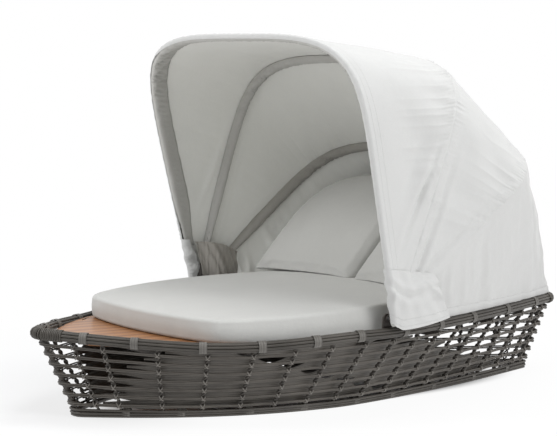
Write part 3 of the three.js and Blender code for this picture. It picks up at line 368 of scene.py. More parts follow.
def wall(share, level, side):
    """Points of the wall's middle surface: level 0 is the base tube, level 1 the rim tube."""
    share, level = np.broadcast_arrays(np.asarray(share, float), np.asarray(level, float))
    edges = ((BASE_SHIFT, BASE_LENGTH, BASE_WIDTH, share * 0 + BASE_HEIGHT),
             (0, RIM_LENGTH, RIM_WIDTH, rim_height(share)))
    base, rim = (np.stack([shift + (share - 0.5) * length, side * half_width(share, width), height], -1)
                 for shift, length, width, height in edges)
    return base + (rim - base) * level[..., None]


def unit(vectors):
    return vectors / np.linalg.norm(vectors, axis=-1, keepdims=True)


def lengths(points):
    return np.concatenate([[0], np.cumsum(np.linalg.norm(np.diff(points, axis=0), axis=1))])


def upright(values):
    """One value per row, ready to scale a row of vectors."""
    return np.reshape(values, (-1, 1))


def points(*axes):
    """Points from their axes, any of which may be one number."""
    return np.column_stack(np.broadcast_arrays(*axes))


def read_at(wanted, run, path):
    """Points of a path, read where its run reaches the wanted values."""
    return points(*[np.interp(wanted, run, axis) for axis in path.T])


def wall_frame(share, side):
    """Along, outward and upward directions of the wall at a share of its length."""
    share = np.asarray(share, float)
    before, after = np.clip(share - 1e-3, 0, 1), np.clip(share + 1e-3, 0, 1)
    along = unit(wall(after, 0.5, side) - wall(before, 0.5, side))
    rise = unit(wall(share, 1, side) - wall(share, 0, side))
    out = unit(np.cross(along, rise)) * -side
    return along, out, unit(np.cross(out, along)) * -side


def hull_loop(level, out, lift, leaning=True, wave=None):
    """A closed path round the hull at one level of the wall, moved outward and upward."""
    shares = np.linspace(0, 1, RIB_BAYS * POINTS_PER_BAY + 1)
    path = []
    for side, run in ((-1, shares), (1, shares[::-1])):
        along, outward, rise = wall_frame(run, side)
        if not leaning:
            rise = np.broadcast_to([0.0, 0.0, 1.0], outward.shape)
            outward = unit(np.cross(along, rise)) * -side
        reach_out = out if wave is None else out + wave(run)
        path.append(wall(run, level, side) + outward * upright(reach_out) + rise * lift)
    return np.concatenate(path)


print("hull height at prow, middle and stern:", rim_height(np.array([0, WIDEST_SHARE, 1.0])).round(3))

# %% [markdown]
# A strand of wicker is a curve with a round bevel, made a mesh. The path is a smooth spline through
# a row of points, so it bends as a springy strand does, and the bevel leaves a map along its length.


# %% A strand
def select(*pieces):
    bpy.ops.object.select_all(action="DESELECT")
    for piece in pieces:
        piece.select_set(True)
    bpy.context.view_layer.objects.active = pieces[0] if pieces else None


def strand(path, radius, material, closed=False, fine=True):
    select()
    bpy.ops.curve.primitive_bezier_curve_add()
    curve = bpy.context.object.data
    curve.splines.clear()
    spline = curve.splines.new("NURBS")
    spline.points.add(len(path) - 1)
    spline.points.foreach_set("co", np.column_stack([path, np.ones(len(path))]).ravel())
    spline.order_u, spline.resolution_u = 3, 2 if fine else 1
    spline.use_cyclic_u, spline.use_endpoint_u = closed, not closed
    curve.bevel_depth, curve.bevel_resolution, curve.use_fill_caps = radius, 2 if fine else 1, True
    curve.materials.append(material)
    bpy.ops.object.convert(target="MESH")
    bpy.ops.object.shade_smooth()
    return bpy.context.object


def join(name, pieces):
    select(*pieces)
    if len(pieces) > 1:
        bpy.ops.object.join()
    whole = bpy.context.object
    whole.name = name
    return whole


def belong(piece, body, slot, *nodes):
    """Ties a piece to its body and hides the nodes it stands for. The slot of its material is not used."""
    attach(piece, body)
    if nodes:
        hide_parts(*nodes)
    print(piece.name, "vertices", len(piece.data.vertices))


# %% [markdown]
# The rim is a bundle of round strands laid all round the frame's tube and bound every hand's width
# with a flat strip. The base ring is thinner: three strands in view, bound in the same way.

# %% The rim and base bundles
TUBE_RADIUS, STRAND_RADIUS, GAP = 0.009, 0.0045, 0.0003
ORBIT = TUBE_RADIUS + GAP + STRAND_RADIUS
STRANDS_ROUND = 9
RIM_START, BASE_START = -1.69, -1.0
BASE_TOP_LEVEL, BASE_TOP_OUT = 0.056, 0.0088


def bundle(name, level, count, start):
    made = []
    for index in range(count):
        turn = (start + index) / STRANDS_ROUND * TURN
        path = hull_loop(level, ORBIT * math.cos(turn), ORBIT * math.sin(turn), leaning=False)
        made.append(strand(path, STRAND_RADIUS, RIM_WICKER, closed=True))
    return join(name, made)


rim = bundle("rim_bundle", 1, 8, RIM_START)
base = bundle("base_bundle", 0, 2, BASE_START)
base_top = strand(hull_loop(BASE_TOP_LEVEL, BASE_TOP_OUT, 0), STRAND_RADIUS, RIM_WICKER, closed=True)
base_top.name = "base_top_strand"
belong(rim, "hull", "rim_strand", *[f"rim_strand_{i}" for i in range(1, 6)])
belong(base, "hull", "rim_strand", "base_strand_1", "base_strand_2")
belong(base_top, "hull", "rim_strand", "base_strand_3")

# %% [markdown]
# A binding is a strip wound tightly round the bundle. One is modelled as a short open cylinder with
# ridges between its turns, given a wall with Solidify, and copied to each place.

# %% Bindings
BINDING_WIDTH, BINDING_TURNS, BINDING_RIDGE = 0.027, 5, 0.0009
RIM_BINDINGS = (0.042, 0.094, 0.17, 0.2435, 0.321, 0.393, 0.483, 0.575, 0.6775, 0.8, 0.9205)
BASE_BINDINGS = (0.066, 0.145, 0.255, 0.355, 0.468, 0.561, 0.68, 0.809, 0.927)


def binding_master(radius):
    select()
    bpy.ops.mesh.primitive_cylinder_add(
        vertices=20, radius=radius, depth=BINDING_WIDTH, end_fill_type="NOTHING")
    master = bpy.context.object
    bpy.ops.object.mode_set(mode="EDIT")
    bpy.ops.mesh.select_all(action="SELECT")
    bpy.ops.mesh.subdivide(number_cuts=11)
    bpy.ops.object.mode_set(mode="OBJECT")
    for vertex in master.data.vertices:
        ridge = abs(math.sin(vertex.co.z / BINDING_WIDTH * BINDING_TURNS * math.pi))
        vertex.co.xy *= 1 + BINDING_RIDGE * ridge / radius
    wall_maker = master.modifiers.new("wall", "SOLIDIFY")
    wall_maker.thickness, wall_maker.offset = 0.0012, 1
    bpy.ops.object.modifier_apply(modifier="wall")
    return master


def place_copies(name, master, matrices, material):
    """One mesh that holds a copy of the master at each matrix."""
    merged = bmesh.new()
    for matrix in matrices:
        copy = master.data.copy()
        copy.transform(matrix)
        merged.from_mesh(copy)
        bpy.data.meshes.remove(copy)
    mesh = bpy.data.meshes.new(name)
    merged.to_mesh(mesh)
    merged.free()
    mesh.shade_smooth()
    bpy.data.objects.remove(master)
    piece = new_object(name, mesh)
    paint(piece, material)
    return piece


def seat(spot, *axes):
    matrix = Matrix([Vector(axis) for axis in axes]).transposed().to_4x4()
    matrix.translation = Vector(spot)
    return matrix


def bindings(name, level, shares, radius, drop):
    matrices = []
    for side in (-1, 1):
        for share in shares:
            z = Vector(wall_frame(share, side)[0]).normalized()
            x = Vector((0, 0, 1)).cross(z).normalized()
            matrices.append(seat(wall(share, level, side) + [0, 0, drop], x, z.cross(x), z))
    belong(place_copies(name, binding_master(radius), matrices, BIND_WICKER), "hull", "weave_strand")


bindings("rim_bindings", 1, RIM_BINDINGS, 0.0188, 0.0)
bindings("base_bindings", 0, BASE_BINDINGS, 0.0158, 0.0035)

# %% [markdown]
# Between rim and base run seven open rows, each a pair of thin strands that lie one over the other
# and press in a little between the stakes. The rows are what gives the hull its striped look.

# %% The open rows
PAIR_RADIUS = 0.0028
PAIR_RISE = PAIR_RADIUS * 1.15
PRESSED_IN = 0.0013


def between_stakes(shares):
    return -PRESSED_IN * np.sin(shares * RIB_BAYS * math.pi) ** 2


for row in range(1, ROWS + 1):
    pair = [strand(hull_loop(row / (ROWS + 1), ROW_OFFSET, lift, wave=between_stakes), PAIR_RADIUS, ROW_WICKER,
                   closed=True) for lift in (-PAIR_RISE, PAIR_RISE)]
    belong(join(f"woven_row_{row}", pair), "hull", "weave_strand", f"weave_row_{row}")

# %% [markdown]
# Each stake is a frame rib wrapped in wicker, and at every row a strand crosses over the pair to
# lash it down. The lashing is an X of two short strands, modelled once and copied to every crossing.


# %% Stakes and lashings
STAKE_RADIUS, STAKE_DEEP, STAKE_WIDE, STAKE_OUT = 0.003, 0.0052, 0.006, 0.0012
ARM_RADIUS, ARM_REACH, ARM_HALF, ARM_RISE, ARM_LAP = 0.0021, 0.007, 0.01, 0.006, 0.0012
STAKE_SHARES = [0.028] + [station / RIB_BAYS for station in range(1, RIB_BAYS)] + [0.972]


def stake(share, side, phase):
    levels = np.linspace(0.02, 0.975, 110)
    along, out, _ = wall_frame(share, side)
    angle = levels * (ROWS + 1) * TURN + phase
    path = wall(share, levels, side) + np.outer(np.cos(angle) * STAKE_DEEP + STAKE_OUT, out)
    return strand(path + np.outer(np.sin(angle) * STAKE_WIDE, along), STAKE_RADIUS, STAKE_WICKER, fine=False)


def lashing_arm(tilt, lift):
    steps = np.linspace(-1, 1, 9)
    rise = ARM_RISE * np.cos(steps * math.pi / 2) ** 0.7
    path = points(steps * ARM_REACH * tilt, steps * ARM_HALF, rise + lift)
    return strand(path, ARM_RADIUS, KNOT_WICKER, fine=False)


stakes, crossings = [], []
for side in (-1, 1):
    for share in STAKE_SHARES:
        stakes += [stake(share, side, phase) for phase in (0, math.pi)]
        along, out, rise = wall_frame(share, side)
        for row in range(1, ROWS + 1):
            spot = wall(share, row / (ROWS + 1), side) + out * (ROW_OFFSET - 0.002)
            crossings.append(seat(spot, along, rise, out))
belong(join("stake_wraps", stakes), "hull", "weave_strand")
lashing = join("lashing", [lashing_arm(1, 0), lashing_arm(-1, ARM_LAP)])
belong(place_copies("lashings", lashing, crossings, KNOT_WICKER), "hull", "weave_strand")
print("lashings:", len(crossings))

# %% [markdown]
# At prow and stern the rows turn the corner round a stem. A thick wrapped strand covers the stem,
# and each row gets a full loop round it, which gives the stepped outline seen against the light.
# Above them a thin strand is wound round the rim bundle across each tip.

# %% Stems, end loops and tip wraps
WRAP_RADIUS, WRAP_PITCH, WRAP_STEPS = 0.02, 0.0062, 12
STEM_RADIUS, STEM_BACK, STEM_SWAY, STEM_TURNS = 0.0075, 0.006, 0.004, 22
LOOP_RADIUS, LOOP_BACK, LOOP_LENGTH, LOOP_WIDTH = 0.0048, 0.005, 0.0075, 0.025
LOOP_SLANT, LOOP_RISE = 0.003, 0.0045

ends = []
for share, lean in ((0.0, -1), (1.0, 1)):
    levels = np.linspace(0.02, 0.98, 40)
    sway = points(-lean * STEM_BACK, np.sin(levels * STEM_TURNS * TURN) * STEM_SWAY, 0)
    ends.append(strand(wall(share, levels, 0) + sway, STEM_RADIUS, ROW_WICKER))
    angles = np.linspace(0, TURN, 13)[:-1]
    for row in range(1, ROWS + 1):
        centre = wall(share, row / (ROWS + 1), 0) - [lean * LOOP_BACK, 0, 0]
        for lift in (-LOOP_RISE, LOOP_RISE):
            across = np.sin(angles)
            ring = centre + points(LOOP_LENGTH * np.cos(angles), LOOP_WIDTH * across, lift + LOOP_SLANT * across)
            ends.append(strand(ring, LOOP_RADIUS, STAKE_WICKER, closed=True))
belong(join("end_loops", ends), "hull", "weave_strand")


def tip_wrap(share, tip):
    """A strand wound round the rim bundle across the tip, from one side to the other."""
    shares = np.linspace(share, tip, 12)
    path = np.vstack([wall(shares, 1, -1), wall(shares[::-1], 1, 1)])
    run = lengths(path)
    count = int(run[-1] / WRAP_PITCH) * WRAP_STEPS
    spots = read_at(np.linspace(0, run[-1], count), run, path)
    ahead = points(*[np.convolve(np.pad(axis, 12, "edge"), np.ones(25) / 25, "valid")
                     for axis in np.gradient(spots, axis=0).T])
    across = unit(np.cross(unit(ahead), [0, 0, 1.0]))
    turn = upright(np.arange(count) / WRAP_STEPS * TURN)
    winding = across * np.cos(turn) * WRAP_RADIUS + np.sin(turn) * [0, 0, WRAP_RADIUS]
    return strand(spots + winding, STAKE_RADIUS, RIM_WICKER, fine=False)


belong(join("nose_wraps", [tip_wrap(0.021, 0.0), tip_wrap(0.988, 1.0)]), "hull", "weave_strand")

# %% [markdown]
# Inside the open rows stands a tub of flat bands, one above the other. It is open towards both ends,
# where each band runs out in a tapered tail. Bands of real wicker never lie quite straight: each one
# wanders a little and laps its neighbour, and in a slanting run along the hull they have sagged
# apart and leave dark lens-shaped gaps.

# %% The banded tub
BAND_PITCH, BANDS, BAND_COLUMNS = 0.0272, 9, 170
BAND_LAP, BAND_WALL = 0.0035, 0.0018
TUB_FOOT, TUB_INSET, TUB_HEIGHT = 0.0185, 0.0195, 0.262
PROW_CUT = ((0.139, 0.334, 0.48, 0.626, 0.8, 0.9, 1.0), (0.031, 0.044, 0.059, 0.086, 0.13, 0.16, 0.2))
STERN_CUT = ((0.05, 0.266, 0.471, 0.68, 0.8, 0.9, 1.0), (0.931, 0.829, 0.725, 0.616, 0.536, 0.47, 0.44))
GAP_LEVELS = (0.05, 0.15, 0.25, 0.35, 0.45, 0.55, 0.65, 0.75, 0.85)
GAP_PLACES = (0.56, 0.505, 0.455, 0.41, 0.367, 0.333, 0.295, 0.26, 0.225)
BAND_SECTION = ((0.0, 0.002), (0.14, 0.0004), (0.5, 0.0), (0.86, 0.0008), (1.0, 0.0036))
rng = np.random.default_rng(7)


def band_grid(index, side):
    middle_level = BAND_PITCH * (index + 0.5) / TUB_HEIGHT
    start, end = np.interp(middle_level, *PROW_CUT), np.interp(middle_level, *STERN_CUT)
    share = start + (end - start) * (0.5 - 0.5 * np.cos(np.linspace(0, math.pi, BAND_COLUMNS))) ** 0.9
    phases = rng.uniform(0, TURN, 4)
    wander = 0.0014 * np.sin(19 * share + phases[0]) + 0.001 * np.sin(43 * share + phases[1])
    gap_at = np.interp(BAND_PITCH * (index + 1) / TUB_HEIGHT, GAP_LEVELS, GAP_PLACES)
    gap = 0.026 * np.maximum(0, 1 - np.abs((share - gap_at) / 0.026) ** 1.6)
    tail = smooth_step(share - start, 0, 0.055) * smooth_step(end - share, 0, 0.06)
    low = TUB_FOOT + BAND_PITCH * index + wander + 0.01 * (1 - tail)
    tall = (BAND_PITCH + BAND_LAP - gap) * (0.22 + 0.78 * tail)
    outward = wall_frame(share, side)[1]
    rows = []
    for rise, out in BAND_SECTION:
        height = np.minimum(low + tall * rise, rim_height(share) - 0.014)
        level = (height - BASE_HEIGHT) / (rim_height(share) - BASE_HEIGHT)
        rows.append(wall(share, level, side) - outward * upright(TUB_INSET + out + 0.014 * (1 - tail)))
    return np.array(rows), lengths(rows[2])


def grid_faces(grid):
    rows, columns = grid.shape[:2]
    first = (np.arange(rows - 1)[:, None] * columns + np.arange(columns - 1)).ravel()
    return np.column_stack([first, first + 1, first + columns + 1, first + columns]).tolist()


def ring_faces(grid):
    """Faces between closed rings, with a cap at each end."""
    rows, columns = grid.shape[:2]
    faces = [(r * columns + c, r * columns + (c + 1) % columns, (r + 1) * columns + (c + 1) % columns,
              (r + 1) * columns + c) for r in range(rows - 1) for c in range(columns)]
    return faces + [tuple(range(columns))[::-1], tuple(range((rows - 1) * columns, rows * columns))]


def mesh_piece(name, grid, faces, *materials):
    mesh = bpy.data.meshes.new(name)
    mesh.from_pydata(grid.reshape(-1, 3).tolist(), [], faces)
    mesh.update()
    mesh.shade_smooth()
    piece = new_object(name, mesh)
    paint(piece, *materials)
    return piece


def map_by_vertex(piece, u, v):
    """A map from one pair of values per vertex; u runs along the piece and v across it."""
    u, v = (np.ravel(part) for part in np.broadcast_arrays(u, v))
    layer = piece.data.uv_layers.new(name="UVMap")
    index = np.empty(len(piece.data.loops), int)
    piece.data.loops.foreach_get("vertex_index", index)
    layer.data.foreach_set("uv", np.column_stack([u[index], v[index]]).astype(np.float32).ravel())


def thicken(piece, thickness, offset=0.0, inner_material=0):
    wall_maker = piece.modifiers.new("thickness", "SOLIDIFY")
    wall_maker.thickness, wall_maker.offset = thickness, offset
    wall_maker.material_offset = inner_material
    select(piece)
    bpy.ops.object.modifier_apply(modifier="thickness")
    piece.data.set_sharp_from_angle(angle=math.radians(65))
    return piece


bands = []
for side in (-1, 1):
    for index in range(BANDS):
        grid, place = band_grid(index, side)
        if side > 0:
            grid, place = grid[:, ::-1], place[::-1]
        bands.append(mesh_piece(f"band_{side}_{index}", grid, grid_faces(grid), BAND_WICKER))
        map_by_vertex(bands[-1], place, upright(np.linspace(0, 1, len(grid))))
belong(thicken(join("tub_bands", bands), BAND_WALL), "hull", "tub_band", "inner_tub")

# %% [markdown]
# The three bows share one outline: straight legs that spread a little, wide corners and a crowned
# top. Everything in the canopy is stretched over them, so the outline comes first, as points spread
# along it with the direction that faces away from the pivot.

# %% The bows' outline
PIVOT = np.array([-0.11, 0.0, 0.34])
BOW_SQUARENESS, LEG_SQUARENESS, SPREAD = 3.79, 9.64, 0.0585
FIRST_FOOT, FOOT_PITCH = 0.6126, 0.0195
# For each bow: its place from the inside, its reach, where its seam starts, its angle from upright
BOWS = {
    "rear": (0, 0.857, 0.232, math.radians(51.3)),
    "middle": (1, 0.932, 0.172, math.radians(19.0)),
    "front": (2, 0.981, 0.178, math.radians(-12.0)),
}
ACROSS, DOWN, BACK_ROWS = ((620, 54, 72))


def in_world(angle, flat):
    """From a bow's plane to the row's frame: across stays across, away turns by the bow's angle."""
    across, away = flat.T
    return points(away * math.sin(angle), across, away * math.cos(angle))


def bow_lines(name, start=None, count=None):
    """Points along a bow and their outward directions, and the same points in the bow's plane."""
    order, furthest, seam, angle = BOWS[name]
    first = math.asin(((start or seam) / furthest) ** (LEG_SQUARENESS / 2))
    share = np.linspace(0, 1, 6001)
    turn = first + (math.pi - 2 * first) * (share - np.sin(share * TURN) / TURN)
    away = furthest * np.sin(turn) ** (2 / LEG_SQUARENESS)
    half = FIRST_FOOT + order * FOOT_PITCH + SPREAD * away
    across = -np.sign(np.cos(turn)) * half * np.abs(np.cos(turn)) ** (2 / BOW_SQUARENESS)
    steps = np.hypot(np.diff(across), np.diff(away))
    heading = np.unwrap(np.arctan2(np.diff(away), np.diff(across)))
    spent = np.concatenate([[0], np.cumsum(steps + 0.42 * np.abs(np.diff(heading, prepend=heading[0])))])
    line = read_at(np.linspace(0, spent[-1], count or ACROSS), spent, points(across, away))
    slope = np.gradient(line, axis=0)
    out = unit(points(-slope[:, 1], slope[:, 0]))
    return in_world(angle, line) + PIVOT, in_world(angle, out), line


# %% [markdown]
# Cloth never lies flat over a bow. It gathers in short folds where it is sewn to the bow, and long
# soft folds run from bow to bow. All of them are sums of a few waves with fixed random phases:
# their height dies away with the distance from the seam.


# %% Folds in cloth
def waves(places, wave_lengths, seed):
    """A smooth uneven wave from -1 to 1 along places, the same each time for one seed."""
    source = np.random.default_rng(seed)
    total = np.zeros_like(places, dtype=float)
    for wave in wave_lengths:
        total += np.sin(places / wave * TURN * source.uniform(0.85, 1.15) + source.uniform(0, TURN))
    return total / len(wave_lengths)


def gathers(place, distance, depth, fade, seed, slant, sizes=(0.021, 0.029, 0.041)):
    """Short folds across a seam that fade with the distance from it."""
    crest = 1 - np.abs(waves(place + slant * distance, sizes, seed)) ** 0.7
    patch = 0.45 + 0.55 * np.abs(waves(place, (0.23, 0.37), seed + 1))
    return depth * crest * patch * np.exp(-((distance / fade) ** 2))


def crumple(u, v, depth, seed, sizes=(0.07, 0.3), count=14):
    """Soft folds in every direction, longer than they are wide."""
    source = np.random.default_rng(seed)
    total = np.zeros(np.broadcast(u, v).shape)
    for _ in range(count):
        wave = source.uniform(*sizes)
        heading = source.uniform(0, math.pi)
        bend = 0.25 * wave * np.sin(u / source.uniform(0.2, 0.5) + source.uniform(0, 6))
        along = (u * math.cos(heading) + v * math.sin(heading) + bend) / wave * TURN
        total += np.sin(along + source.uniform(0, 6)) * wave
    return total / (0.5 * sum(sizes) * count ** 0.5) * depth


def fold(distance, middle, width):
    """A ridge of unit height across a distance."""
    return np.exp(-(((distance - middle) / width) ** 2))


def clear_of_ends(place, reach_in=0.22):
    return smooth_step(place, 0, reach_in) * smooth_step(place[-1] - place, 0, reach_in)


# %% [markdown]
# A sheet of cloth is a grid of points with a map. It gets a wall of a couple of millimetres with its
# second material inside, on the canopy a copy painted lighter than the outside as painted light, and
# its cut size, measured on the grid along its folds, is printed.

# %% A sheet of cloth
CLOTH_OFFSET = 0.014
CLOTH_WALL = 0.0022


def flat_size(grid):
    """Cut width, length and area of a sheet that a grid of points follows."""
    rows = np.linalg.norm(np.diff(grid, axis=1), axis=2).sum(1)
    columns = np.linalg.norm(np.diff(grid, axis=0), axis=2).sum(0)
    edge = np.cross(grid[1:, :-1] - grid[:-1, :-1], grid[:-1, 1:] - grid[:-1, :-1])
    other = np.cross(grid[1:, :-1] - grid[1:, 1:], grid[:-1, 1:] - grid[1:, 1:])
    area = (np.linalg.norm(edge, axis=2) + np.linalg.norm(other, axis=2)).sum() / 2
    return float(rows.max()), float(columns.max()), float(area)


def cloth_piece(name, node, rows, looks, mirrored=False,
                thickness=CLOTH_WALL):
    grid, u, v = (np.array(part)[:, ::-1 if mirrored else 1] for part in zip(*rows))
    piece = mesh_piece(name, grid, [face[::-1] for face in grid_faces(grid)], *looks)
    map_by_vertex(piece, u, v)
    thicken(piece, thickness, -1, inner_material=1)
    width, length, area = flat_size(grid)
    area = min(area, width * length)
    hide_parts(node)
    print(name, "cut about", round(width, 2), "by", round(length, 2), "m, area", round(area, 2))
    return piece


# %% [markdown]
# A panel of the canopy is a grid stretched between two bows: tight at the bows, hanging in a shallow
# valley between them. The three panels meet along the bows' tops, as the sewn cloth does. The front
# edge rolls round the first bow, so that a white rim shows from inside.

# %% Canopy panels
VALLEY_SHARE = 0.003
HEM_ROLL = 0.015
REAR_BULGE = 0.021


def rear_bulge(line):
    return REAR_BULGE * smooth_step(line[:, 1], 0.5, 0.8) * smooth_step(-line[:, 0], 0.3, 0.62)


def rolled_hem(start, normal, line, ahead, place):
    """Rows of the front edge, from inside the bow round to its top."""
    across, rise = line.T
    shown = np.maximum(smooth_step(rise, 0.86, 0.96), 1 - smooth_step(across, -0.55, -0.2))
    shown = np.maximum(shown, 1 - smooth_step(rise, 0.2, 0.42))
    for part in (1, 0.85, 0.7, 0.55, 0.4, 0.25, 0.1):
        turn = np.radians(60 + 54 * shown) * part
        curl = normal * np.cos(upright(turn)) - ahead * np.sin(upright(turn))
        roll = HEM_ROLL + 0.0007 * waves(place, (0.03, 0.05), 8)
        roll += 0.0016 * waves(place + 0.02 * part, (0.011, 0.017), 9) * (1 - smooth_step(rise, 0.2, 0.35))
        yield start + curl * upright(roll), place, -turn * HEM_ROLL


def panel(front, back, seed):
    start, normal_a, line_a = bow_lines(front)
    end, normal_b, line_b = bow_lines(back)
    span = end - start
    width = np.linalg.norm(span, axis=1)
    place = (lengths(start) + lengths(end)) / 2
    across, height = line_b.T
    near = 1 - smooth_step(across, -0.3, 0.15)
    strength = 0.25 + 0.75 * near
    full = 0.62 + 0.38 * clear_of_ends(place)
    tight, loose = smooth_step(height, 0.3, 0.55), 1 - smooth_step(height, 0.45, 0.72)
    crown = smooth_step(height, 0.62, 0.88)
    corner = crown * smooth_step(np.abs(across), 0.42, 0.56)
    lean = 0.034 + 0.046 * (1 - smooth_step(height, 0.17, 0.62))
    allowance = (0.045, 0.21) if front == "front" else (0.019, 0.07)
    rows = list(rolled_hem(start, normal_a, line_a, unit(span), place)) if front == "front" else []
    shares = 0.6 * (0.5 - 0.5 * np.cos(np.linspace(0, math.pi, DOWN))) + 0.4 * np.linspace(0, 1, DOWN)
    for share in shares:
        normal = unit(normal_a * (1 - share) + normal_b * share)
        before, after = share * width, (1 - share) * width
        belly = math.sin(share * math.pi)
        free = smooth_step(before / full, *allowance) * smooth_step(after / full, 0.019, 0.05)
        pleats = tight * gathers(place, after, 0.008, 0.06, seed, 0.25)
        pleats += corner * gathers(place, after, 0.01, 0.05, seed + 4, 0.3, (0.024, 0.034, 0.05))
        folds = tight * (gathers(place, after, 0.0085, 0.21, seed + 2, 0.16, (0.065, 0.09, 0.13)) - 0.003)
        folds += crumple(place, before, 0.0034, seed + 9) * (1 - 0.45 * crown)
        folds += crumple(place, before * 0.5, 0.0045, seed + 13, (0.16, 0.4), 8) * belly * (1 - 0.6 * crown)
        folds += 0.008 * crown * belly
        if back == "middle":
            leg_folds = ((-0.017, after - lean, 0, 0.013), (0.01, after - lean, 0.032, 0.02),
                         (-0.008 * near, after - lean, 0.085, 0.022))
            bulge = 0
        else:
            leg_folds = (-0.01, before, 0.04, 0.012), (0.008, before, 0.068, 0.017), (-0.006, after, 0.05, 0.014)
            pleats += gathers(place, before, 0.0062, 0.052, seed + 5, -0.3)
            bulge = rear_bulge(line_b) * share
        folds += loose * sum(depth * fold(distance, middle, wide) for depth, distance, middle, wide in leg_folds)
        pleats *= min(share * 40, 1) * min((1 - share) * 40, 1)
        valley = VALLEY_SHARE * width * belly ** 0.8
        lift = CLOTH_OFFSET + strength * (pleats + free * folds) - free * valley + bulge
        rows.append((start + span * share + normal * upright(lift), place, before))
    return rows


front_cloth = cloth_piece("canopy_cloth_front", "canopy_front", panel("front", "middle", 3),
                          (CANOPY_HEMMED, CANOPY_INSIDE_PAINTED_LIGHT))
middle_cloth = cloth_piece("canopy_cloth_middle", "canopy_middle", panel("middle", "rear", 17),
                           (CANOPY_OUTSIDE, CANOPY_INSIDE_PAINTED_LIGHT))

# %% [markdown]
# The back panel falls from the last bow to a hem that follows the rim round the stern. Its long
# vertical folds deepen towards the hem, and the hem itself is a band with a row of stitches.

# %% The back panel
HEM_START_X, HEM_SPREAD = 0.084, 2.4
BUNDLE_RADIUS = 0.0183


def back_hem(count):
    """The line on the rim where the back panel's hem ends, from one side to the other."""
    across = np.linspace(-1, 1, count)
    start = HEM_START_X / RIM_LENGTH + 0.5
    hem = wall(1 + (start - 1) * np.abs(across) ** HEM_SPREAD, 1, 1)
    hem[:, 1] *= np.sign(across) * np.clip(np.abs(across) * 40, 0, 1)
    hem[:, 2] += BUNDLE_RADIUS + 0.0018
    return hem, across


def back_panel():
    top, normal, line = bow_lines("rear")
    top = top + normal * CLOTH_OFFSET
    hem, across = back_hem(ACROSS)
    outward = unit(points(1 - np.abs(across), across, 0))
    place = lengths(top)
    drop = np.linalg.norm(top - hem, axis=1)
    high = smooth_step(line[:, 1], 0.25, 0.5)
    for down in np.linspace(0, 1, BACK_ROWS):
        fall, left = down * drop, drop - down * drop
        from_seam, from_hem = min(down * 14, 1), min((1 - down) * 20, 1)
        lift = 0.026 * math.sin(down * math.pi) * (1 - np.abs(across) ** 6)
        long_folds = waves(place + 0.03 * np.sin(down * 4), (0.075, 0.11, 0.17), 21)
        lift += (long_folds + 0.55) * 0.0125 * down ** 0.7 * (1 - 0.85 * down ** 7)
        lift += waves(place - 0.02 * down, (0.038, 0.052), 22) * 0.0028 * math.sin(down * math.pi)
        lift += from_seam * high * gathers(place, fall, 0.0042, 0.07, 23, -0.4)
        lift += from_hem * gathers(place, left, 0.003, 0.045, 29, 0.2)
        lift += from_seam * from_hem * crumple(place, fall, 0.0022, 31)
        if down > 0.3:
            lift += 0.003 * (1 - smooth_step(left, HEM_BAND, HEM_BAND + 0.006))
            lift -= 0.005 * fold(left, HEM_BAND, 0.0055)
        swell = normal * upright(rear_bulge(line) * (1 - down) ** 1.5)
        yield top + (hem - top) * down + swell + outward * upright(lift), place, left


back_cloth = cloth_piece("canopy_cloth_back", "canopy_rear", back_panel(), (CANOPY_BACK, BACK_INSIDE_PAINTED_LIGHT))

# %% [markdown]
# Over each pivot a flap hangs from the seam and covers the hinge, just outside the rim. Its cloth
# is slack: swags hang from its top corners, and its back edge laps over the back panel. Round the
# front bow's leg it turns back and lies along the leg's inner side.

# %% Side flaps
FLAP_FRONT, FLAP_BACK = -0.124, 0.11
FLAP_DROP, FLAP_BACK_DROP = 0.036, 0.007
FLAP_ROWS, FLAP_COLUMNS = ((80, 110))
HANG_Y = 0.6636
LEG_RADIUS = 0.014
LEG_STEPS, RETURN_STEPS = 12, 7
CRINKLED = LEG_STEPS + RETURN_STEPS


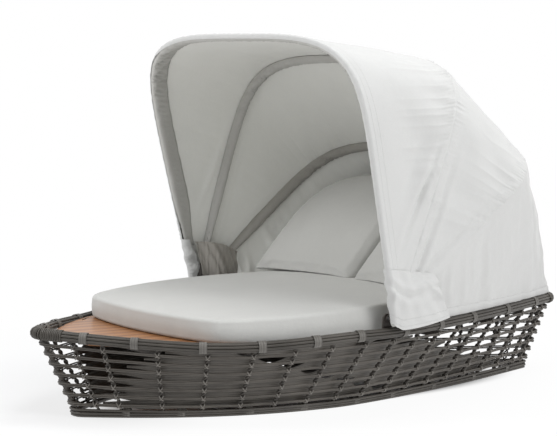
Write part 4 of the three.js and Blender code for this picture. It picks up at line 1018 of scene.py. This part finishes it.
def flap(side):
    corners = []
    for name in ("front", "middle", "rear"):
        line, out, _ = bow_lines(name)
        corners.append((line + out * CLOTH_OFFSET)[0 if side < 0 else -1] + [0, 0, 0.004])
    t = np.linspace(0, 2, FLAP_COLUMNS)
    top = read_at(t, (0, 1, 2), np.array(corners))
    share = t / 2
    top[:, 1] += side * 0.0035 * (1 - smooth_step(share, 0.25, 0.75))
    drop = FLAP_DROP + (FLAP_BACK_DROP - FLAP_DROP) * share ** 2 - 0.012 * np.exp(-(share / 0.07) ** 2)
    low = points(FLAP_FRONT + LEG_RADIUS + (FLAP_BACK - FLAP_FRONT) * share,
                 side * (HANG_Y - 0.006 * share ** 2), PIVOT[2] - drop)
    turns = np.radians(np.linspace(180, 12, LEG_STEPS))
    leg = points(-np.sin(turns), side * (np.cos(turns) - 1), 0)
    inner = points(np.linspace(0.06, 0.008, RETURN_STEPS), -2 * side * LEG_RADIUS, 0)
    around_top = top[0] + np.vstack([inner * [0.14, 1.45, 1], leg * [LEG_RADIUS * 1.1, LEG_RADIUS * 1.45, 1]])
    around_low = low[0] + np.vstack([inner, leg * LEG_RADIUS])
    around_low[RETURN_STEPS:, 2] += 0.014 * np.sin(turns)
    top, low = np.vstack([around_top, top]), np.vstack([around_low, low])
    share = np.concatenate([np.zeros(CRINKLED), share])
    place = lengths(low)
    for fall in np.linspace(0, 1, FLAP_ROWS):
        slack = math.sin(fall * math.pi) ** 0.5
        point = top + (low - top) * fall
        point[:, 1] = top[:, 1] + (low[:, 1] - top[:, 1]) * fall ** 2
        swag = fall - 0.16 - 0.15 * np.sin(np.clip(share * 1.2, 0, 1) * math.pi)
        second = fall - 0.42 - 0.17 * np.sin(np.clip(share * 1.1, 0, 1) * math.pi)
        pull = fall - 0.05 - (share - 0.7) * 1.6
        folds = 0.0062 * fold(swag, 0, 0.07) + 0.005 * fold(second, 0, 0.09) - 0.004 * fold(swag, 0.14, 0.05)
        folds += 0.004 * fold(pull, 0, 0.09) * (share > 0.55)
        folds += crumple(place, fall * 0.2, 0.0036, 31 + side, (0.045, 0.13))
        point[:, 1] += side * folds * slack
        crinkle = waves(place[:CRINKLED] * 0.5 - fall * 0.17, (0.013, 0.021, 0.033), 91)
        crinkle = np.abs(crinkle) * 0.0052 * slack
        point[:CRINKLED, 0] -= crinkle * 0.25
        point[:CRINKLED, 1] -= side * crinkle * np.linspace(1, 0, CRINKLED) ** 0.5
        yield point, place, np.full(len(place), 0.2 * (1 - fall))


for side, label in SIDES:
    piece = cloth_piece(f"flap_{label}", f"side_flap_{label}", flap(side), (CANOPY_HEMMED, CANOPY_INSIDE_PAINTED_LIGHT),
                        mirrored=side > 0)
    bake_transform(piece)

# %% [markdown]
# Each bow runs in a sewn tunnel of taupe cloth that lies against the canopy. Its section is a
# half-round over the tube with a flat seam allowance at each side. The front one hems the opening,
# so its allowance is wide, and it follows the canopy back from the bow. Slanting pleats run across.
# The sections are in millimetres: how far along the cloth, and how far out from the bow.

# %% Bow sleeves
EVEN_SECTION = ((-21, 10.2), (-11, 11.7), (0, 12), (11, 11.7), (21, 10.2), (21.5, 8),
                (16.5, 1), (10, -8.5), (0, -12.5), (-10, -8.5), (-16.5, 1), (-21.5, 8))
WIDE_SECTION = ((-11.8, 3), (-8.5, 9.2), (0, 12), (20, 11.7), (40, 11.5), (60, 11.2),
                (64, 9.2), (52, 4.5), (34, -1), (16, -7.5), (2, -11.8), (-8.5, -8))
REAR_SECTION = ((-21, 10.2), (-11, 11.5), (0, 11.8), (10, 10), (18, 6.2), (18.8, 4.5),
                (15, -1), (9.5, -8.5), (0, -12.5), (-10, -8.5), (-16.5, 1), (-21.5, 8))
SLEEVE_START = 0.158
SLEEVE_COUNT = 620
ORDER = ("front", "middle", "rear")


def neighbours(name, centre):
    """Unit directions along the cloth from a bow, forward and back."""
    angle, at = BOWS[name][3], ORDER.index(name)
    if at > 0:
        ahead = bow_lines(ORDER[at - 1], SLEEVE_START, SLEEVE_COUNT)[0] - centre
    else:
        ahead = np.broadcast_to([-math.cos(angle), 0, math.sin(angle)], centre.shape)
    if at < 2:
        back = bow_lines(ORDER[at + 1], SLEEVE_START, SLEEVE_COUNT)[0] - centre
    else:
        back = back_hem(SLEEVE_COUNT)[0] - centre
    return unit(ahead), unit(back)


def sleeve(name, section, seed, material):
    centre, normal, _ = bow_lines(name, SLEEVE_START, SLEEVE_COUNT)
    ahead, back = neighbours(name, centre)
    place = lengths(centre)
    ends = clear_of_ends(place)
    bend = np.linalg.norm(np.gradient(unit(np.gradient(centre, axis=0)), axis=0), axis=1)
    bend = np.convolve(bend / bend.max(), np.ones(25) / 25, "same")
    points = []
    for wide, deep in np.array(section) / 1000:
        reach_out = abs(wide) * (0.62 + 0.38 * ends)
        reach_out = reach_out * (1 + 0.02 * waves(place, (0.05, 0.09), seed + 3) * (abs(wide) > 0.018))
        pleat = 1 - 2 * np.abs(waves(place + 1.3 * wide, (0.036, 0.05, 0.067), seed)) ** 0.7
        depth = deep - (0.0019 + 0.0042 * bend) * (pleat + 0.5) * (deep < 0.006)
        points.append(centre + (back if wide > 0 else ahead) * upright(reach_out) + normal * upright(depth))
    grid = np.array(points).transpose(1, 0, 2)
    piece = mesh_piece(f"{name}_sleeve_cloth", grid, ring_faces(grid), material)
    map_by_vertex(piece, upright(place), np.arange(len(section)) / len(section))
    belong(piece, f"{name}_bow_body", "sleeve_cloth", f"{name}_bow_sleeve")


# The front and middle sleeves take the copy painted lighter, the rear one the copy painted darker as painted
# shade.
sleeve("front", WIDE_SECTION, 41, SLEEVE_PAINTED_LIGHT)
sleeve("middle", EVEN_SECTION, 43, SLEEVE_PAINTED_LIGHT)
sleeve("rear", REAR_SECTION, 47, REAR_SLEEVE_PAINTED_SHADE)

# %% [markdown]
# A gathered cover hides the feet of the bows on the inside: a fan of cloth drawn in towards the
# pivot. It is deepest in front, where the outermost bow stands, and shallow behind.

# %% Pivot covers
COVER_FROM, COVER_TO = math.radians(-3), math.radians(51)
COVER_REACH, COVER_BACK_REACH = 0.168, 0.199
COVER_FOOT, COVER_SPAN, COVER_DROP = 0.034, 0.12, 0.03
COVER_Y, COVER_WALL = 0.586, 0.0018
COVER_COLUMNS, COVER_ROWS = ((220, 46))


def pivot_cover(side):
    turn = np.linspace(0, 1, COVER_COLUMNS)
    angle = COVER_FROM + (COVER_TO - COVER_FROM) * turn
    reach_out = COVER_REACH + (COVER_BACK_REACH - COVER_REACH) * turn ** 2
    hem = PIVOT + points(COVER_FOOT + COVER_SPAN * turn, 0, -COVER_DROP)
    crest = PIVOT + points(reach_out * np.sin(angle), 0, reach_out * np.cos(angle))
    for rise in np.linspace(0, 1, COVER_ROWS):
        point = hem + (crest - hem) * rise
        pleats = waves(turn + 0.3 * rise ** 1.5, (0.17, 0.26, 0.41), 61)
        fine = waves(turn - 0.15 * rise, (0.07, 0.1), 63)
        depth = COVER_Y + 0.042 * (1 - smooth_step(turn, 0, 0.5))
        depth -= (0.0072 * pleats + 0.0014 * fine) * min(rise * 2 + 0.3, 1)
        depth -= 0.016 * math.sin(rise * math.pi * 0.9) * (0.3 + 0.7 * np.sin(turn * math.pi))
        point[:, 1] = side * depth
        yield point, turn * 0.3, turn * 0 + rise * 0.2


for side, label in SIDES:
    piece = cloth_piece(f"gathered_cover_{label}", f"pivot_cover_{label}", pivot_cover(side),
                        (COVER_CLOTH, COVER_CLOTH),
                        side < 0, COVER_WALL)
    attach(piece, "hull")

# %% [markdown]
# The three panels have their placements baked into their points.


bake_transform(front_cloth)
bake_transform(middle_cloth)
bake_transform(back_cloth)

# %% [markdown]
# The mattress is a boxed pad cut to the hull's outline: crisp edges, nearly flat sides that pull in
# a little, and a low crown. It rises slightly towards the back. It is lofted from rings, each one
# the same outline drawn in by some way and set at its height.

# %% The mattress
MAT_BOTTOM = 0.2767
MAT_FRONT, MAT_BACK, MAT_BULGE = -0.694, 0.318, 0.052
MAT_FRONT_INSET, MAT_SIDE_INSET, MAT_INSET_RUN = 0.031, 0.062, 0.6
MAT_SIDE, MAT_RISE_SHARE, MAT_CROWN, MAT_EDGE = 0.082, 0.043, 0.013, 0.015
MAT_POINTS, MAT_EASING = 420, 26
CROWN_SHARES = (0.03, 0.07, 0.13, 0.2, 0.3, 0.4, 0.5, 0.6, 0.7, 0.8, 0.9, 0.97)


def mattress_outline():
    def half(x):
        inset = np.interp(x, (MAT_FRONT, MAT_FRONT + MAT_INSET_RUN), (MAT_FRONT_INSET, MAT_SIDE_INSET))
        return half_width(x / RIM_LENGTH + 0.5, RIM_WIDTH) - inset

    across = np.linspace(-1, 1, 41)
    down = np.linspace(MAT_FRONT, MAT_BACK, 41)[1:-1]
    corner = 0.014 * np.abs(across) ** 12
    front = points(MAT_FRONT - MAT_BULGE * (1 - across ** 2) + half(MAT_FRONT) * corner,
                   across * half(MAT_FRONT) * (1 - corner))
    back = points(MAT_BACK, across[::-1] * half(MAT_BACK))
    left = points(down, half(down))
    path = np.vstack([front, left, back, left[::-1] * [1, -1], front[:1]])
    run = lengths(path)
    path = read_at(np.linspace(0, run[-1], MAT_POINTS, endpoint=False), run, path)
    for _ in range(MAT_EASING):
        path = (np.roll(path, 1, 0) + 2 * path + np.roll(path, -1, 0)) / 4
    return path[::-1]


def mattress_rings():
    outline = mattress_outline()
    step = np.roll(outline, -1, 0) - np.roll(outline, 1, 0)
    outward = unit(points(step[:, 1], -step[:, 0]))
    centre = np.array([(MAT_FRONT + MAT_BACK) / 2, 0])
    run = lengths(outline)
    arcs = np.radians(np.linspace(0, 90, 7))
    # Each level: how far the ring shrinks to the centre, how far it is drawn in, and its height
    levels = [(shrink, 0, 0) for shrink in (0.9, 0.5, 0.1)]
    levels += [(0, MAT_EDGE * (1 - math.sin(a)), MAT_EDGE * (1 - math.cos(a))) for a in arcs]
    levels += [(0, -0.0026 * math.sin(t * math.pi), MAT_EDGE + (MAT_SIDE - 2 * MAT_EDGE) * t)
               for t in (0.2, 0.4, 0.6, 0.8)]
    levels += [(0, MAT_EDGE * (1 - math.cos(a)), MAT_SIDE - MAT_EDGE * (1 - math.sin(a))) for a in arcs]
    levels += [(t, MAT_EDGE, MAT_SIDE + MAT_CROWN * (1 - (1 - t) ** 3)) for t in CROWN_SHARES]
    rings = []
    for shrink, drawn, height in levels:
        plan = centre + (outline - outward * drawn - centre) * (1 - shrink)
        soft = 0.0012 * waves(run, (0.11, 0.19), 71) * (0.004 < height < MAT_SIDE) * (shrink == 0)
        plan = plan + outward * upright(soft)
        rise = MAT_RISE_SHARE * (plan[:, 0] - MAT_FRONT) * min(height / MAT_SIDE, 1)
        quilt = crumple(plan[:, 0], plan[:, 1], 0.0016, 73, (0.25, 0.6), 9)
        rise += quilt * min(shrink * 8, 1) * (height > MAT_SIDE / 2)
        rings.append(np.column_stack([plan, MAT_BOTTOM + height + rise]))
    return np.array(rings)


rings = mattress_rings()
mattress = mesh_piece("mattress_pad", rings, ring_faces(rings), MATTRESS_CLOTH)
map_by_vertex(mattress, lengths(rings[8]), upright(np.linspace(0, 1, len(rings))))
belong(mattress, "hull", "mattress_cloth", "mattress")

# %% [markdown]
# The back cushions are simulated, because only pressure gives the right swell. Each starts as a loft:
# rings of a shape with one wide round corner, set one behind the other on a leaning plane that wraps
# forward at the sides. It is remeshed finely, and a cloth with pressure inside blows it up. How far
# a point may move is capped, and the result is smoothed.

# %% The back cushions
BACK_LEAN = math.radians(42)
BACK_FOOT_X, BACK_FOOT_Z = 0.168, 0.4122
CUSHION_HEIGHT, CUSHION_HALF, CUSHION_THICK, CUSHION_WRAP = 0.52, 0.56, 0.108, 0.09
CUSHION_ROUNDNESS, CUSHION_PART = 4.3, 0.0005
CORNER_POINTS, EDGE_POINTS = 26, 9
FOOT_SINK, LOFT_EXTRA = 0.011, 0.004
FRONT_DRAW, BACK_DRAW = 0.072, 0.036
VOXEL = 0.007
SIMULATED_FRAMES, PRESSURE, MOVE_CAP = 16, 4.0, 0.008


def cushion_ring(side, drawn, forward):
    foot = max(-forward * math.tan(BACK_LEAN), 0) - FOOT_SINK
    inner = CUSHION_PART + drawn * 0.4
    wide, tall = CUSHION_HALF + LOFT_EXTRA - drawn - inner, CUSHION_HEIGHT + LOFT_EXTRA - drawn - foot
    turn = np.linspace(0, math.pi / 2, CORNER_POINTS)
    y = inner + wide * np.cos(turn) ** (2 / CUSHION_ROUNDNESS)
    up = foot + tall * np.sin(turn) ** (2 / CUSHION_ROUNDNESS)
    y = np.concatenate([y, [inner] * EDGE_POINTS, inner + wide * np.linspace(0.1, 0.9, EDGE_POINTS)])
    up = np.concatenate([up, foot + tall * np.linspace(0.9, 0, EDGE_POINTS), [foot] * EDGE_POINTS])
    wrap = CUSHION_WRAP * (y / CUSHION_HALF) ** 2
    x = BACK_FOOT_X + up * math.sin(BACK_LEAN) - forward * math.cos(BACK_LEAN) - wrap
    return points(x, side * y, BACK_FOOT_Z + up * math.cos(BACK_LEAN) + forward * math.sin(BACK_LEAN))


def cushion_loft(name, side):
    rings = []
    for turn in np.radians(np.linspace(-90, 90, 13)):
        forward = CUSHION_THICK / 2 * (math.copysign(abs(math.sin(turn)) ** 0.85, turn) - 1)
        draw = FRONT_DRAW if turn > 0 else BACK_DRAW
        rings.append(cushion_ring(side, draw * (1 - math.cos(turn) ** 0.8), forward))
    rings = np.array(rings)[:, ::-side]
    return mesh_piece(name, rings, ring_faces(rings), CUSHION_PAINTED_SHADE)


def places_of(piece):
    spots = np.empty(len(piece.data.vertices) * 3)
    piece.data.vertices.foreach_get("co", spots)
    return spots.reshape(-1, 3)


def inflate(piece):
    before = places_of(piece)
    puff = piece.modifiers.new("puff", "CLOTH")
    settings = puff.settings
    settings.use_pressure, settings.uniform_pressure_force = True, PRESSURE
    settings.effector_weights.gravity = 0
    settings.tension_stiffness = settings.compression_stiffness = 30
    settings.bending_stiffness = 2
    settings.quality = 4
    puff.point_cache.frame_start, puff.point_cache.frame_end = 1, SIMULATED_FRAMES
    for step in range(1, SIMULATED_FRAMES + 1):
        bpy.context.scene.frame_set(step)
    bpy.ops.object.modifier_apply(modifier="puff")
    move = places_of(piece) - before
    far = np.linalg.norm(move, axis=1, keepdims=True)
    move *= np.minimum(1, MOVE_CAP / np.maximum(far, 1e-9))
    piece.data.vertices.foreach_set("co", (before + move).ravel())
    bpy.context.scene.frame_set(1)
    piece.data.update()


for side, label in SIDES:
    pad = cushion_loft(f"back_pad_{label}", side)
    select(pad)
    pad.data.remesh_voxel_size = VOXEL
    bpy.ops.object.voxel_remesh()
    inflate(pad)
    ease = pad.modifiers.new("ease", "SMOOTH")
    ease.factor, ease.iterations = 0.5, 5
    bpy.ops.object.modifier_apply(modifier="ease")
    bpy.ops.object.shade_smooth()
    paint(pad, CUSHION_PAINTED_SHADE)
    belong(pad, "hull", "cushion_cloth", f"back_cushion_{label}")
    print(pad.name, "spans", [round(span, 3) for span in pad.dimensions])

# %% [markdown]
# The studio is a pale floor with one large soft lamp on the camera's left, a weaker one on the
# right and an even sky. Far from the daybed the floor melts into the white of the sky. Near it the
# floor is mixed part of the way to a white glow, less on the left than on the right, which paints a
# shade on its left side, and it also glows faintly of itself. Inside the base ring it gets neither
# glow, which paints it darker under the hull. Seen straight on or in a gloss the sky is white, and
# only its light on the daybed is weaker.

# %% Studio
FLOOR_SHIFT = 0.25
UNDER_LENGTH, UNDER_WIDTH = 0.95, 0.335


def mix_shaders(tree, factor, first, second, output):
    mixed = tree.nodes.new("ShaderNodeMixShader")
    for slot, value in zip(mixed.inputs, (factor, first, second)):
        tree.links.new(value.socket if isinstance(value, Wire) else value.outputs[0], slot)
    tree.links.new(mixed.outputs[0], tree.nodes[output].inputs[0])


def backdrop():
    select()
    bpy.ops.mesh.primitive_plane_add(size=60, location=(0, 0, 0))
    floor = bpy.context.object
    floor.name = "floor"
    finish = Finish("pale floor", Roughness=0.7, Base_Color=(0.79, 0.79, 0.795), Specular_IOR_Level=0.1,
                    Emission_Strength=0.08)
    x, y, _ = finish.parts(finish.place())
    # No glow inside the base ring: the floor is painted darker under the hull.
    outside = (((x / UNDER_LENGTH) ** 2 + (y / UNDER_WIDTH) ** 2) ** 0.5).between(0.75, 1.0)
    plug(finish.tree, finish.shader.inputs["Emission Color"], outside)
    x, y = x + FLOOR_SHIFT, y + FLOOR_SHIFT
    away = ((x * x + y * y) ** 0.5).between(1.3, 2.6)
    # Painted shade: the floor is mixed less far to white on the left than on the right.
    right = (x - y * 0.6).between(-1.15, -0.25)
    pale = 1 - (1 - away) * (1 - (right * 0.36 + 0.58))
    white = finish.node("Emission", Color=(1, 1, 1), Strength=1.0)
    mix_shaders(finish.tree, pale * outside, finish.shader, white, "Material Output")
    paint(floor, finish.material)


def lamp(name, place, target, size, watts):
    light = new_object(name, bpy.data.lights.new(name, "AREA"))
    light.data.shape, light.data.size, light.data.energy = "DISK", size, watts
    light.location = place
    light.rotation_euler = (Vector(target) - Vector(place)).to_track_quat("-Z", "Y").to_euler()


def background():
    world = bpy.data.worlds.new("sky")
    world.use_nodes = True
    bpy.context.scene.world = world
    sky = world.node_tree
    rays = sky.nodes.new("ShaderNodeLightPath")
    seen, lit = sky.nodes.new("ShaderNodeBackground"), sky.nodes["Background"]
    for node, colour, strength in ((seen, (1, 1, 1), 1.0), (lit, (0.96, 0.98, 1.0), 0.43)):
        plug(sky, node.inputs["Color"], colour)
        plug(sky, node.inputs["Strength"], strength)
    straight, gloss = (Wire(sky, rays.outputs[f"Is {kind} Ray"]) for kind in ("Camera", "Glossy"))
    mix_shaders(sky, straight.maths("MAXIMUM", straight, gloss), lit, seen, "World Output")


backdrop()
lamp("left", (-4.2, 1.6, 4.7), (0, 0, 0.5), 2.2, 165)
lamp("right", (1.5, -6.5, 3.2), (0, 0, 0.5), 3.5, 185)
lamp("top", (1.6, -1.0, 6.0), (0, 0, 0.4), 4.0, 200)
background()
bpy.context.scene.view_settings.view_transform = "Standard"

# %% Finish
bpy.context.view_layer.update()
